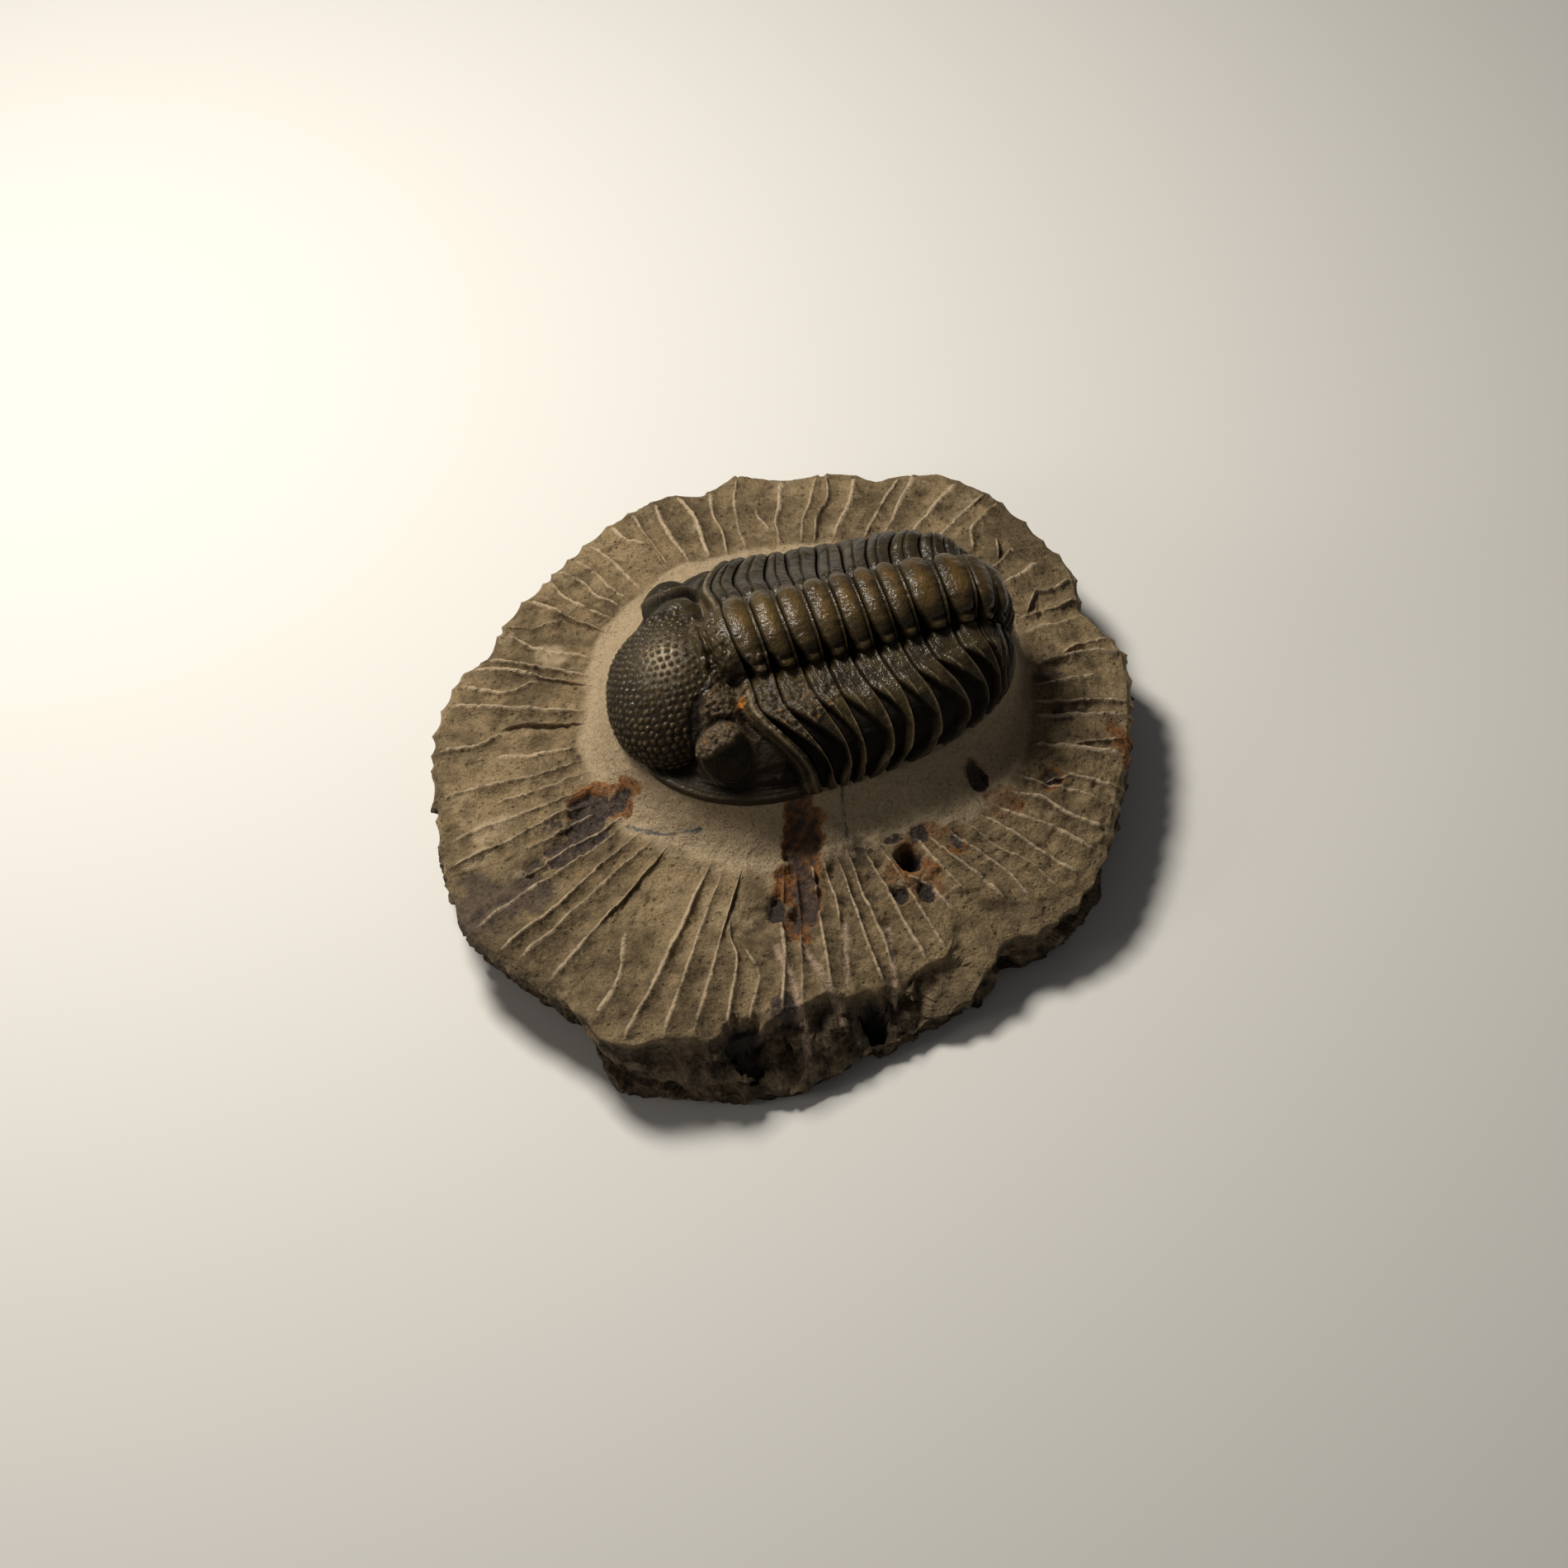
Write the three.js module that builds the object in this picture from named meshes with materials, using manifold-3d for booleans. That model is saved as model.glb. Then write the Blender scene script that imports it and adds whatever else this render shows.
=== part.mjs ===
// A trilobite fossil, arched over the rock it was freed from. Millimetres, +Z up.
// The animal's axis runs along X with the head towards -X. The slab's flat underside is z = 0.
import * as THREE from 'three';
import { mergeVertices } from 'three/addons/utils/BufferGeometryUtils.js';
import Module from 'manifold-3d';

// Driving sizes of the animal
const AXIS_Y = 3.7; // the animal's axis stands this far off the slab's middle
const MARGIN_Z = 20.3; // height of the shell's lower edge above the slab's underside
const MARGIN_MID_X = -4; // where the shell is widest
const MARGIN_HALF_WIDTH = 21.7;
const MARGIN_FRONT = 20.4; // reach of the head's edge ahead of the widest place
const MARGIN_REAR = 39.4; // reach of the tail's edge behind it
const MARGIN_NEAR_POWER = 2.15; // of the head's edge on the near side, where 2 would be an ellipse
const MARGIN_FAR_POWER = 1.5; // the far cheek is pressed in
const MARGIN_REAR_POWER = 2.4;
const PLATE_THICKNESS = 1.9;
const JOINT_GAP = 0.34; // open space kept between neighbouring plates and under them
const SEGMENTS = 11;

// Cross lines over the body. Line 0 is the head's rear edge, 1 to 11 are the rear edges of the
// thorax segments, 12 is the tail's edge and -6 the head's front edge.
// crest: top of the axial lobe. furrow: its foot. half: its half width. tip: where the line meets
// the shell's lower edge. sweep: how far the line bows backwards on the flank.
// fall: height of the flank's shoulder as a share of the furrow's height.
// far: height of the far flank as a share of the near one's.
const LINES = [
  { crest: [-24.4, 0.0], furrow: [-23.0, 0.0], half: 7.2, tip: -20.2, sweep: 0.0, fall: 0.6, far: 1 },
  { crest: [-23.9, 5.4], furrow: [-22.9, 3.8], half: 8.4, tip: -18.2, sweep: 0.0, fall: 0.62, far: 0.96 },
  { crest: [-21.7, 9.2], furrow: [-21.0, 6.8], half: 8.8, tip: -15.4, sweep: 0.0, fall: 0.66, far: 0.9 },
  { crest: [-18.2, 11.6], furrow: [-17.6, 8.8], half: 8.6, tip: -12.0, sweep: 0.0, fall: 0.7, far: 0.82 },
  { crest: [-14.3, 12.4], furrow: [-13.7, 9.2], half: 7.3, tip: -8.0, sweep: 0.0, fall: 0.78, far: 0.76 },
  { crest: [-10.8, 14.1], furrow: [-9.9, 10.3], half: 6.5, tip: -3.8, sweep: -0.4, fall: 0.88, far: 0.73 },
  { crest: [-7.2, 15.4], furrow: [-5.9, 10.9], half: 6.3, tip: 0.6, sweep: -0.7, fall: 0.95, far: 0.71 },
  { crest: [-2.9, 15.6], furrow: [-2.4, 11.0], half: 6.4, tip: 2.8, sweep: -0.6, fall: 0.95, far: 0.69 },
  { crest: [1.0, 15.7], furrow: [1.8, 10.8], half: 6.4, tip: 4.4, sweep: 1.0, fall: 0.95, far: 0.66 },
  { crest: [5.0, 15.7], furrow: [5.4, 10.7], half: 6.4, tip: 6.7, sweep: 0.9, fall: 0.95, far: 0.64 },
  { crest: [8.9, 15.7], furrow: [9.0, 10.7], half: 6.4, tip: 9.4, sweep: 2.6, fall: 0.95, far: 0.63 },
  { crest: [12.4, 15.8], furrow: [12.9, 10.8], half: 6.35, tip: 12.2, sweep: 2.7, fall: 0.95, far: 0.66 },
  { crest: [15.8, 15.9], furrow: [16.4, 10.9], half: 6.2, tip: 17.6, sweep: 1.9, fall: 0.95, far: 0.84 },
  { crest: [19.3, 15.9], furrow: [19.8, 10.9], half: 5.9, tip: 22.7, sweep: 1.5, fall: 0.95, far: 1.03 },
  { crest: [24.4, 15.6], furrow: [24.3, 10.8], half: 5.7, tip: 26.5, sweep: 0.9, fall: 0.95, far: 1.08 },
  { crest: [29.2, 14.6], furrow: [28.0, 10.4], half: 5.4, tip: 28.6, sweep: 1.0, fall: 0.95, far: 1.06 },
  { crest: [32.5, 12.1], furrow: [30.4, 9.0], half: 5.0, tip: 29.9, sweep: 0.7, fall: 0.95, far: 1 },
  { crest: [34.6, 8.4], furrow: [32.0, 6.8], half: 4.5, tip: 31.0, sweep: 0.4, fall: 0.95, far: 1 },
  { crest: [35.4, 0.0], furrow: [34.4, 0.0], half: 3.2, tip: 32.2, sweep: 0.0, fall: 0.95, far: 1 },
];
const FIRST_LINE = -6;
const LAST_LINE = 12;
const RING_SHARE = 0.32; // share of a line, from crest to tip, that lies on the axial lobe
const SHOULDER_SHARE = 0.26; // share of the flank, from furrow to tip, that is nearly level
const SHOULDER_OUT = 0.385; // how far out the shoulder stands between furrow and edge
const RING_POWER = 0.9; // of the axial lobe's arch, where 1 would be a quarter ellipse
const LINE_BEND = [0.2, 0.85]; // shares of the flank between which a line swings back to its tip
const BOW_SCALE = 27 / 4; // makes the greatest value of share * share * (1 - share) one
const LEAN = -0.044; // how far the axial lobe leans to the near side, as a share of its height

// Colours and finishes
const SHELL = new THREE.MeshStandardMaterial({ color: 0x3b3223, roughness: 0.42, metalness: 0 });
const STONE = new THREE.MeshStandardMaterial({ color: 0xa08f73, roughness: 0.9, metalness: 0 });

const clamp = THREE.MathUtils.clamp;
const lerp = THREE.MathUtils.lerp;
const ramp = (value, from, to) => THREE.MathUtils.smoothstep(value, from, to);

// The place between two numbers where a test that holds at the first stops holding
function lastPlace(test, from, to) {
  let [holds, fails] = [from, to];
  for (let i = 0; i < 20; i++) {
    const middle = (holds + fails) / 2;
    if (test(middle)) holds = middle;
    else fails = middle;
  }
  return holds;
}

// The shell's lower edge is two half superellipses, one ahead of its widest place, one behind.
function marginPower(x, y) {
  if (x >= MARGIN_MID_X) return MARGIN_REAR_POWER;
  return y < 0 ? MARGIN_NEAR_POWER : MARGIN_FAR_POWER;
}
const marginReach = (x) => (x < MARGIN_MID_X ? MARGIN_FRONT : MARGIN_REAR);

// Half width of the lower edge at a place along the axis, on the side that y lies on
function marginHalfWidth(x, y) {
  const power = marginPower(x, y);
  const share = clamp(Math.abs(x - MARGIN_MID_X) / marginReach(x), 0, 1);
  return MARGIN_HALF_WIDTH * (1 - share ** power) ** (1 / power);
}

// How far out a place lies between the widest place's middle (0) and the lower edge (1), where
// the edge is pushed out by a distance
function marginShare(x, y, out) {
  const power = marginPower(x, y);
  const along = Math.abs(x - MARGIN_MID_X) / (marginReach(x) + out);
  const across = Math.abs(y) / (MARGIN_HALF_WIDTH + out);
  return (along ** power + across ** power) ** (1 / power);
}

// The sizes of a cross line, read between the rows of LINES
function lineAt(line) {
  const place = clamp(line, FIRST_LINE, LAST_LINE) - FIRST_LINE;
  const row = Math.min(Math.floor(place), LINES.length - 2);
  const t = place - row;
  const mix = (pick) => lerp(pick(LINES[row]), pick(LINES[row + 1]), t);
  return {
    crestX: mix((r) => r.crest[0]),
    crestZ: mix((r) => r.crest[1]),
    furrowX: mix((r) => r.furrow[0]),
    furrowZ: mix((r) => r.furrow[1]),
    half: mix((r) => r.half),
    tip: mix((r) => r.tip),
    sweep: mix((r) => r.sweep),
    fall: mix((r) => r.fall),
    far: mix((r) => r.far),
  };
}

// A point of the smooth body: line says which cross line, side runs from -1 at the near edge
// over 0 at the crest to 1 at the far edge. x along the axis, y off it, z above the lower edge.
function bodyPoint(line, side) {
  const l = lineAt(line);
  const out = Math.abs(side);
  const sign = Math.sign(side) || 1;
  const lean = LEAN * l.crestZ;
  if (out < RING_SHARE) {
    const turn = (out / RING_SHARE) * (Math.PI / 2);
    const rise = Math.cos(turn) ** RING_POWER;
    return new THREE.Vector3(
      lerp(l.furrowX, l.crestX, rise),
      sign * l.half * Math.sin(turn) + lean,
      lerp(l.furrowZ, l.crestZ, rise),
    );
  }
  const flank = (out - RING_SHARE) / (1 - RING_SHARE);
  const edge = marginHalfWidth(l.tip, side);
  const inner = l.half + sign * lean;
  const shoulder = inner + (edge - inner) * SHOULDER_OUT;
  const level = Math.min(flank / SHOULDER_SHARE, 1);
  const turn = (Math.max(flank - SHOULDER_SHARE, 0) / (1 - SHOULDER_SHARE)) * (Math.PI / 2);
  const bow = BOW_SCALE * flank * flank * (1 - flank);
  const lower = side > 0 ? lerp(1, l.far, ramp(flank, 0, 0.5)) : 1;
  return new THREE.Vector3(
    lerp(l.furrowX, l.tip, ramp(flank, ...LINE_BEND)) + l.sweep * bow,
    sign * (lerp(inner, shoulder, level) + (edge - shoulder) * Math.sin(turn)),
    l.furrowZ * lerp(1, l.fall, level * level) * Math.cos(turn) * lower,
  );
}

// The way out of the body at a point of it. On the head and at the tail's end it is the way out
// of one smooth dome, because the cross lines crowd together there.
const DOME_HEIGHT = 17;
const DOME_TILT = 1.4; // turns its sides up a little more than an ellipsoid's
const HEAD_BLEND = [-2, -0.5]; // lines over which the head's dome gives way to the true slope
const TAIL_BLEND = [11, 12];
function bodyNormal(line, side) {
  const along = bodyPoint(line + 0.5, side).sub(bodyPoint(line - 0.5, side));
  const across = bodyPoint(line, Math.min(side + 0.05, 1));
  across.sub(bodyPoint(line, Math.max(side - 0.05, -1)));
  const facing = along.cross(across).normalize();
  const point = bodyPoint(line, side);
  const dome = new THREE.Vector3(
    (point.x - MARGIN_MID_X) / marginReach(point.x) ** 2,
    point.y / MARGIN_HALF_WIDTH ** 2,
    (DOME_TILT * Math.max(point.z, 0)) / DOME_HEIGHT ** 2,
  ).normalize();
  const onThorax = ramp(line, ...HEAD_BLEND) * (1 - ramp(line, ...TAIL_BLEND));
  return dome.lerp(facing, onThorax).normalize();
}

// A point above (height > 0) or below the smooth body, in the slab's frame
function place(line, side, height) {
  const point = bodyPoint(line, side).addScaledVector(bodyNormal(line, side), height);
  return new THREE.Vector3(point.x, point.y + AXIS_Y, point.z + MARGIN_Z);
}

// A closed solid from rings of points. Each ring runs out along an upper chain of the given
// length and back along a lower one, and the first and last ring are closed by a strip between
// their two chains.
function loft(rings, upperCount) {
  const count = rings[0].length;
  const positions = rings.flat().flatMap((p) => [p.x, p.y, p.z]);
  const faces = [];
  for (let r = 0; r + 1 < rings.length; r++) {
    for (let i = 0; i < count; i++) {
      const a = r * count + i;
      const b = r * count + ((i + 1) % count);
      faces.push(a, b, b + count, a, b + count, a + count);
    }
  }
  const last = (rings.length - 1) * count;
  for (const [a, b, c] of stripFaces(count, upperCount)) {
    faces.push(a, c, b);
    faces.push(last + a, last + b, last + c);
  }
  return indexed(positions, faces);
}

// Triangles between the two chains of a ring, walked in step from the same end
function stripFaces(count, upperCount) {
  const faces = [];
  const upperSteps = upperCount - 1;
  const lowerSteps = count - upperCount - 1;
  let up = 0;
  let down = 0;
  while (up < upperSteps || down < lowerSteps) {
    const behind = (up + 1) * lowerSteps <= (down + 1) * upperSteps;
    const onUpper = up < upperSteps && (down === lowerSteps || behind);
    const [a, b] = [up, count - 1 - down];
    if (onUpper) faces.push([a, a + 1, b]);
    else faces.push([a, b - 1, b]);
    if (onUpper) up += 1;
    else down += 1;
  }
  return faces;
}

function indexed(positions, faces) {
  const geometry = new THREE.BufferGeometry();
  geometry.setAttribute('position', new THREE.Float32BufferAttribute(positions, 3));
  geometry.setIndex(faces);
  return geometry;
}

function named(name, geometry, material) {
  const flat = geometry.index ? geometry.toNonIndexed() : geometry;
  flat.computeVertexNormals();
  const mesh = new THREE.Mesh(flat, material);
  mesh.name = name;
  return mesh;
}

// Stations across the body where the plates are measured, from edge to edge
const HALF_STATIONS = [0.13, 0.24, 0.32, 0.41, 0.5, 0.63, 0.76, 0.89, 1];
const SIDES = [...HALF_STATIONS.map((s) => -s).reverse(), 0, ...HALF_STATIONS];

// Height of a thorax plate's outer face over the smooth body: u runs from its front to its rear
// edge. On the axis a broad ring, on the inner flank a flat band with a slanting furrow, and
// further out a scooped front facet with a sharp ridge behind it.
const FRONT_DROP = 1.15; // the front edge dives under the plate ahead
const FRONT_SHARE = 0.22; // of the plate's length, given to that dive
const RING_RISE = 0.55;
const RING_LEAN = 0.85; // power that puts the ring's top a little ahead of the plate's middle
const FURROW_CUT = 0.6;
const FURROW_START = 0.36; // where the slanting furrow leaves the axial lobe
const FURROW_SLANT = 0.5; // how far back it has run at the shell's edge
const FURROW_WIDTH = 0.16;
const FACET_CUT = 1.25;
const FACET_REAR = [0.35, 0.85]; // shares of the plate's length over which the scoop ends
const FACET_SIDE = [0.3, 0.5]; // shares of the flank over which band turns into facet
const REAR_RISE = 0.25;
const DEEPEST_RELIEF = 1.4;
const LOBE_BLEND = 0.03; // half the share of a line over which ring turns into flank
function plateRelief(u, side) {
  const out = Math.abs(side);
  const flank = clamp((out - RING_SHARE) / (1 - RING_SHARE), 0, 1);
  const dive = -FRONT_DROP * (1 - ramp(u, 0, FRONT_SHARE));
  const ring = RING_RISE * Math.sin(Math.PI * u ** RING_LEAN);
  const slant = (u - FURROW_START - FURROW_SLANT * flank) / FURROW_WIDTH;
  const onFacet = ramp(flank, ...FACET_SIDE);
  const furrow = -FURROW_CUT * Math.exp(-slant * slant) * (1 - onFacet);
  const facet = -FACET_CUT * (1 - ramp(u, ...FACET_REAR)) * onFacet;
  const onRing = 1 - ramp(out, RING_SHARE - LOBE_BLEND, RING_SHARE + LOBE_BLEND);
  const rear = REAR_RISE * ramp(u, 0.8, 0.95);
  return Math.max(dive + ring * onRing + (furrow + facet) * (1 - onRing) + rear, -DEEPEST_RELIEF);
}

// The share of the step from one line to the next that the open joint takes up
function jointShare(line, side) {
  const step = place(line + 0.5, side, 0).distanceTo(place(line - 0.5, side, 0));
  return JOINT_GAP / 2 / step;
}

const PLATE_STEPS = [0, 0.24, 0.52, 0.82, 1];
function thoraxPlate(number) {
  const rings = SIDES.map((side) => {
    const front = number - 1 + jointShare(number - 1, side);
    const rear = number - jointShare(number, side);
    const upper = PLATE_STEPS.map((u) => place(lerp(front, rear, u), side, plateRelief(u, side)));
    const lower = [place(rear, side, -PLATE_THICKNESS), place(front, side, -PLATE_THICKNESS)];
    return [...upper, ...lower];
  });
  return loft(rings, PLATE_STEPS.length);
}

// Tail shield: the last plate, with faint ribs, wrapped down to the lower edge
const TAIL_STEPS = [0, 0.16, 0.34, 0.55, 0.78, 1];
const TAIL_RIBS = 4;
const TAIL_RIB_RISE = 0.2;
const TAIL_FRONT_SHARE = 0.16;
function tailRelief(u) {
  const dive = -FRONT_DROP * (1 - ramp(u, 0, TAIL_FRONT_SHARE));
  const ribs = TAIL_RIB_RISE * Math.sin(TAIL_RIBS * Math.PI * u) ** 2;
  return (dive + ribs) * (1 - u);
}

function tailShield() {
  const rings = SIDES.map((side) => {
    const front = SEGMENTS + jointShare(SEGMENTS, side);
    const upper = TAIL_STEPS.map((u) => place(lerp(front, LAST_LINE, u), side, tailRelief(u)));
    const lower = [LAST_LINE, front].map((line) => place(line, side, -PLATE_THICKNESS));
    return [...upper, ...lower];
  });
  return loft(rings, TAIL_STEPS.length);
}

// Head shield. Its outer face is the outermost surface of these forms, in the body's frame:
// x, y off the axis, z above the lower edge. Each is { at, size } of an ellipsoid's middle and radii.
const GLABELLA = { at: [-13.2, 0, 1.6], size: [11.0, 12.4, 11.2] };
const GLABELLA_NEAR = { at: [-18.2, -4.6, 3.4], size: [6.4, 8.2, 6.6] }; // swollen on the near side
const FIRST_RING = { at: [-11.4, -0.5, 7.0], size: [1.7, 6.7, 6.7] };
const NECK_RING = { at: [-8.4, -0.6, 7.4], size: [2.6, 6.4, 7.9] };
const FAR_SINK = 1.3; // how much lower the head's forms stand on the far side
const RING_KNOB = { at: [-10.9, 6.6, 10.0], size: [1.3, 1.2, 1.3] };
const BROW = { at: [-12.4, 9.7, 5.6], size: [4.5, 3.4, 4.6] };
const EYE = { at: [-11.5, 14.0, 4.6], size: [4.1, 3.9, 5.0] };
const BORDER_RADIUS = 1.35;
const BORDER_INSET = 1.3; // of the border roll's middle, from the lower edge
const BORDER_LIFT = 1.0;
const CHEEK_INSET = 2.6; // of the cheek's foot, from the lower edge
const CHEEK_POWER = 2.4;
const CHEEK_REAR_HEIGHT = 12.4; // at line 0, falling to the front height
const CHEEK_FRONT_HEIGHT = 3.2;
const CHEEK_SCALE = 9; // millimetres to one share of the cheek's size
const SOFT = 0.8; // fillets between the head's forms
const CREASE = 0.5;
const NEAR_FILLET = 3;

function ellipsoid(p, form, mirror = true) {
  const y = mirror ? Math.abs(p.y) : p.y;
  const d = [p.x - form.at[0], y - form.at[1], p.z - form.at[2]];
  const a = Math.hypot(...d.map((v, i) => v / form.size[i]));
  const b = Math.hypot(...d.map((v, i) => v / form.size[i] ** 2));
  return b > 0 ? (a * (a - 1)) / b : -Math.min(...form.size);
}

// Joins two forms with a fillet of the given reach
function join(a, b, reach) {
  const h = Math.max(reach - Math.abs(a - b), 0) / reach;
  return Math.min(a, b) - (h * h * reach) / 4;
}

const glabella = (p) =>
  join(ellipsoid(p, GLABELLA), ellipsoid(p, GLABELLA_NEAR, false), NEAR_FILLET);

function headDistance(point) {
  const p = point.clone();
  p.z += FAR_SINK * ramp(p.y, 0, 9) * ramp(p.z, 1, 5);
  const back = ramp(p.x, MARGIN_MID_X - MARGIN_FRONT, 0) ** 2;
  const tall = lerp(CHEEK_FRONT_HEIGHT, CHEEK_REAR_HEIGHT, back);
  const low = Math.max(p.z, 0) / tall;
  const wide = marginShare(p.x, p.y, -CHEEK_INSET);
  const share = (low ** CHEEK_POWER + wide ** CHEEK_POWER) ** (1 / CHEEK_POWER);
  const cheek = (share - 1) * CHEEK_SCALE;
  const inside = (1 - marginShare(p.x, p.y, 0)) * MARGIN_HALF_WIDTH;
  const border = Math.hypot(inside - BORDER_INSET, p.z - BORDER_LIFT) - BORDER_RADIUS;
  const rings = join(ellipsoid(p, FIRST_RING, false), ellipsoid(p, NECK_RING, false), CREASE);
  const lobes = join(join(glabella(p), rings, CREASE), ellipsoid(p, RING_KNOB), CREASE);
  const eye = join(ellipsoid(p, EYE), ellipsoid(p, BROW), CREASE);
  return join(join(join(cheek, border, SOFT), lobes, SOFT), eye, SOFT);
}

// Height of the head's outer face over the smooth body, searched from outside inwards
const SEARCH_OUT = 5;
const SEARCH_IN = -9;
const SEARCH_STEP = 0.25;
const REAR_SEAM = [0.4, 3.4]; // distances ahead of line 0 over which the forms take over
const REAR_RIDGE = { ahead: 1.0, width: 0.7, rise: 0.5 }; // along the cheek's rear edge
const REAR_FURROW = { ahead: 2.9, width: 0.8, rise: -0.7 };
const bump = (value, { ahead, width, rise }) => rise * Math.exp(-(((value - ahead) / width) ** 2));
function headHeight(line, side) {
  const start = bodyPoint(line, side);
  const way = bodyNormal(line, side);
  const isOutside = (h) => headDistance(start.clone().addScaledVector(way, h)) > 0;
  let reached = SEARCH_OUT;
  while (reached > SEARCH_IN && isOutside(reached)) reached -= SEARCH_STEP;
  const face = lastPlace(isOutside, reached + SEARCH_STEP, reached);
  const ahead = bodyPoint(0, side).distanceTo(start);
  const onFlank = ramp(Math.abs(side), RING_SHARE, RING_SHARE + 0.08);
  const edge = bump(ahead, REAR_RIDGE) + bump(ahead, REAR_FURROW);
  return face * ramp(ahead, ...REAR_SEAM) + edge * onFlank;
}

const evenSteps = (from, to, count) =>
  Array.from({ length: count }, (_, i) => lerp(from, to, (i + 1) / count));
const HEAD_HALF_SIDES = [...evenSteps(0, 0.45, 15), ...evenSteps(0.45, 1, 8)]; // finer on the lobe
const HEAD_SIDES = [...HEAD_HALF_SIDES.map((s) => -s).reverse(), 0, ...HEAD_HALF_SIDES];
const HEAD_LINES = 28;
const TUBERCLE_RISE = 0.42;
const TUBERCLE_FOOT = 2; // the glabella is smooth below this height
function headShield() {
  const rows = Array.from({ length: HEAD_LINES + 1 }, (_, i) => FIRST_LINE * (1 - i / HEAD_LINES));
  const rings = HEAD_SIDES.map((side, column) => {
    const rear = -jointShare(0, side);
    const upper = rows.map((row, i) => {
      const line = Math.min(row, rear);
      const point = bodyPoint(line, side);
      const height = headHeight(line, side);
      const out = point.addScaledVector(bodyNormal(line, side), height);
      const staggered = i % 2 === 0 && (column + i / 2) % 2 === 0;
      const knobby = staggered && out.z > TUBERCLE_FOOT && glabella(out) < 0.05;
      return place(line, side, height + (knobby ? TUBERCLE_RISE : 0));
    });
    const lower = UNDER_LINES.map((row) => place(Math.min(row, rear), side, underHeight(row, side)));
    return [...upper, ...lower];
  });
  return loft(rings, rows.length);
}

// Underside of the head: well below its outer face everywhere near the line and side asked for
const UNDER_LINES = [0, -1.5, -3, -4.5, -6];
const NEAR_LINES = [-1.5, -1, -0.5, 0, 0.5, 1, 1.5];
const NEAR_SIDES = [-0.08, -0.04, 0, 0.04, 0.08];
function underHeight(line, side) {
  const around = NEAR_LINES.flatMap((dl) => NEAR_SIDES.map((ds) =>
    headHeight(clamp(line + dl, FIRST_LINE, 0), clamp(side + ds, -1, 1))));
  return Math.min(...around) - PLATE_THICKNESS;
}

// The rock slab. RIM follows the crest where the tooled top ends, seen from above: the angle in
// degrees about the slab's middle, and the radius.
const RIM = [
  [1, 52.4], [11, 49.9], [20, 53.7], [27, 54.1], [39, 56.5], [48, 56.5], [57, 51.7], [63, 52.2],
  [73, 49.7], [81, 51.2], [87, 48.2], [94, 49.8], [104, 48.4], [114, 46.5], [124, 45.5],
  [133, 45.8], [144, 45.1], [149, 47.8], [162, 49.6], [170, 49.9], [179, 50.4], [190, 52.7],
  [202, 55.6], [214, 54.7], [221, 54.7], [228, 58.2], [233, 57.8], [240, 55.6], [247, 52.6],
  [254, 47.4], [260, 46.6], [268, 44.7], [276, 44.6], [285, 43.6], [291, 39.6], [296, 38.6],
  [301, 43.2], [308, 47.4], [315, 48.9], [324, 49.2], [333, 49.1], [346, 50.3],
];
// Under the crest the rock has broken away to a lower edge. Each row: the angle, the height of
// the crest, how much further out the edge lies, and its height.
const BREAK = [
  [180, 12, 0.8, 10.8], [221, 12.2, 0.8, 10.8], [228, 12.2, 1.0, 10.5], [233, 12.4, 1.1, 8],
  [240, 12.4, 2.3, 5], [247, 12, 4.3, 2.6], [254, 12, 8, 2], [260, 11.6, 6.8, 2.4],
  [268, 9.8, 5.9, 3], [276, 8.2, 4.6, 3.2], [285, 8.6, 5, 4], [291, 10.6, 6.8, 5.2],
  [296, 11.8, 5.8, 5.6], [301, 10.6, 4, 6.4], [308, 10, 1.8, 7.6], [315, 10.6, 1.1, 9],
  [324, 11.4, 0.9, 10.2], [333, 12, 0.8, 10.8],
];
const WALL_LEAN = 0.6; // how far the slab's side falls back down to its flat underside
const UNDERCUT = 3.4; // how much further it falls back at the near left
const UNDERCUT_START = [186, 200]; // degrees
const UNDERCUT_END = [222, 234];
const RIDGES = 78; // radial tool marks round the slab
const RIDGE_RISE = 0.42;
const SCALLOP = 0.55; // how far the edge runs in and out between ridges
const TOOLED_SHARES = [0.45, 1]; // from the wall's foot to the crest
const SHOULDER_Z = MARGIN_Z - JOINT_GAP; // the rock's level top under the shell's edge
const WALL = [[0.5, SHOULDER_Z], [2.4, 17.8], [4.4, 15.4], [7.0, 13.9]]; // out from the shell, height

// The values of a row of a table that lists angles in its first column, read between its rows
function aroundTable(table, degrees) {
  const turn = THREE.MathUtils.euclideanModulo(degrees, 360);
  const after = table.findIndex((row) => row[0] > turn);
  const next = table[after < 0 ? 0 : after];
  const last = table.at(after < 0 ? -1 : after - 1);
  const span = THREE.MathUtils.euclideanModulo(next[0] - last[0], 360);
  const t = THREE.MathUtils.euclideanModulo(turn - last[0], 360) / span;
  return last.slice(1).map((value, i) => lerp(value, next[i + 1], t));
}

// Distance from the slab's middle to the shell's lower edge, pushed out, along one direction
const SLAB_REACH = 60;
function marginRadius(angle, out) {
  const isUnder = (r) =>
    marginShare(Math.cos(angle) * r, Math.sin(angle) * r - AXIS_Y, out) < 1;
  return lastPlace(isUnder, 0, SLAB_REACH);
}

function polar(degrees, r, z) {
  const angle = THREE.MathUtils.degToRad(degrees);
  return new THREE.Vector3(Math.cos(angle) * r, Math.sin(angle) * r, z);
}

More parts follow.
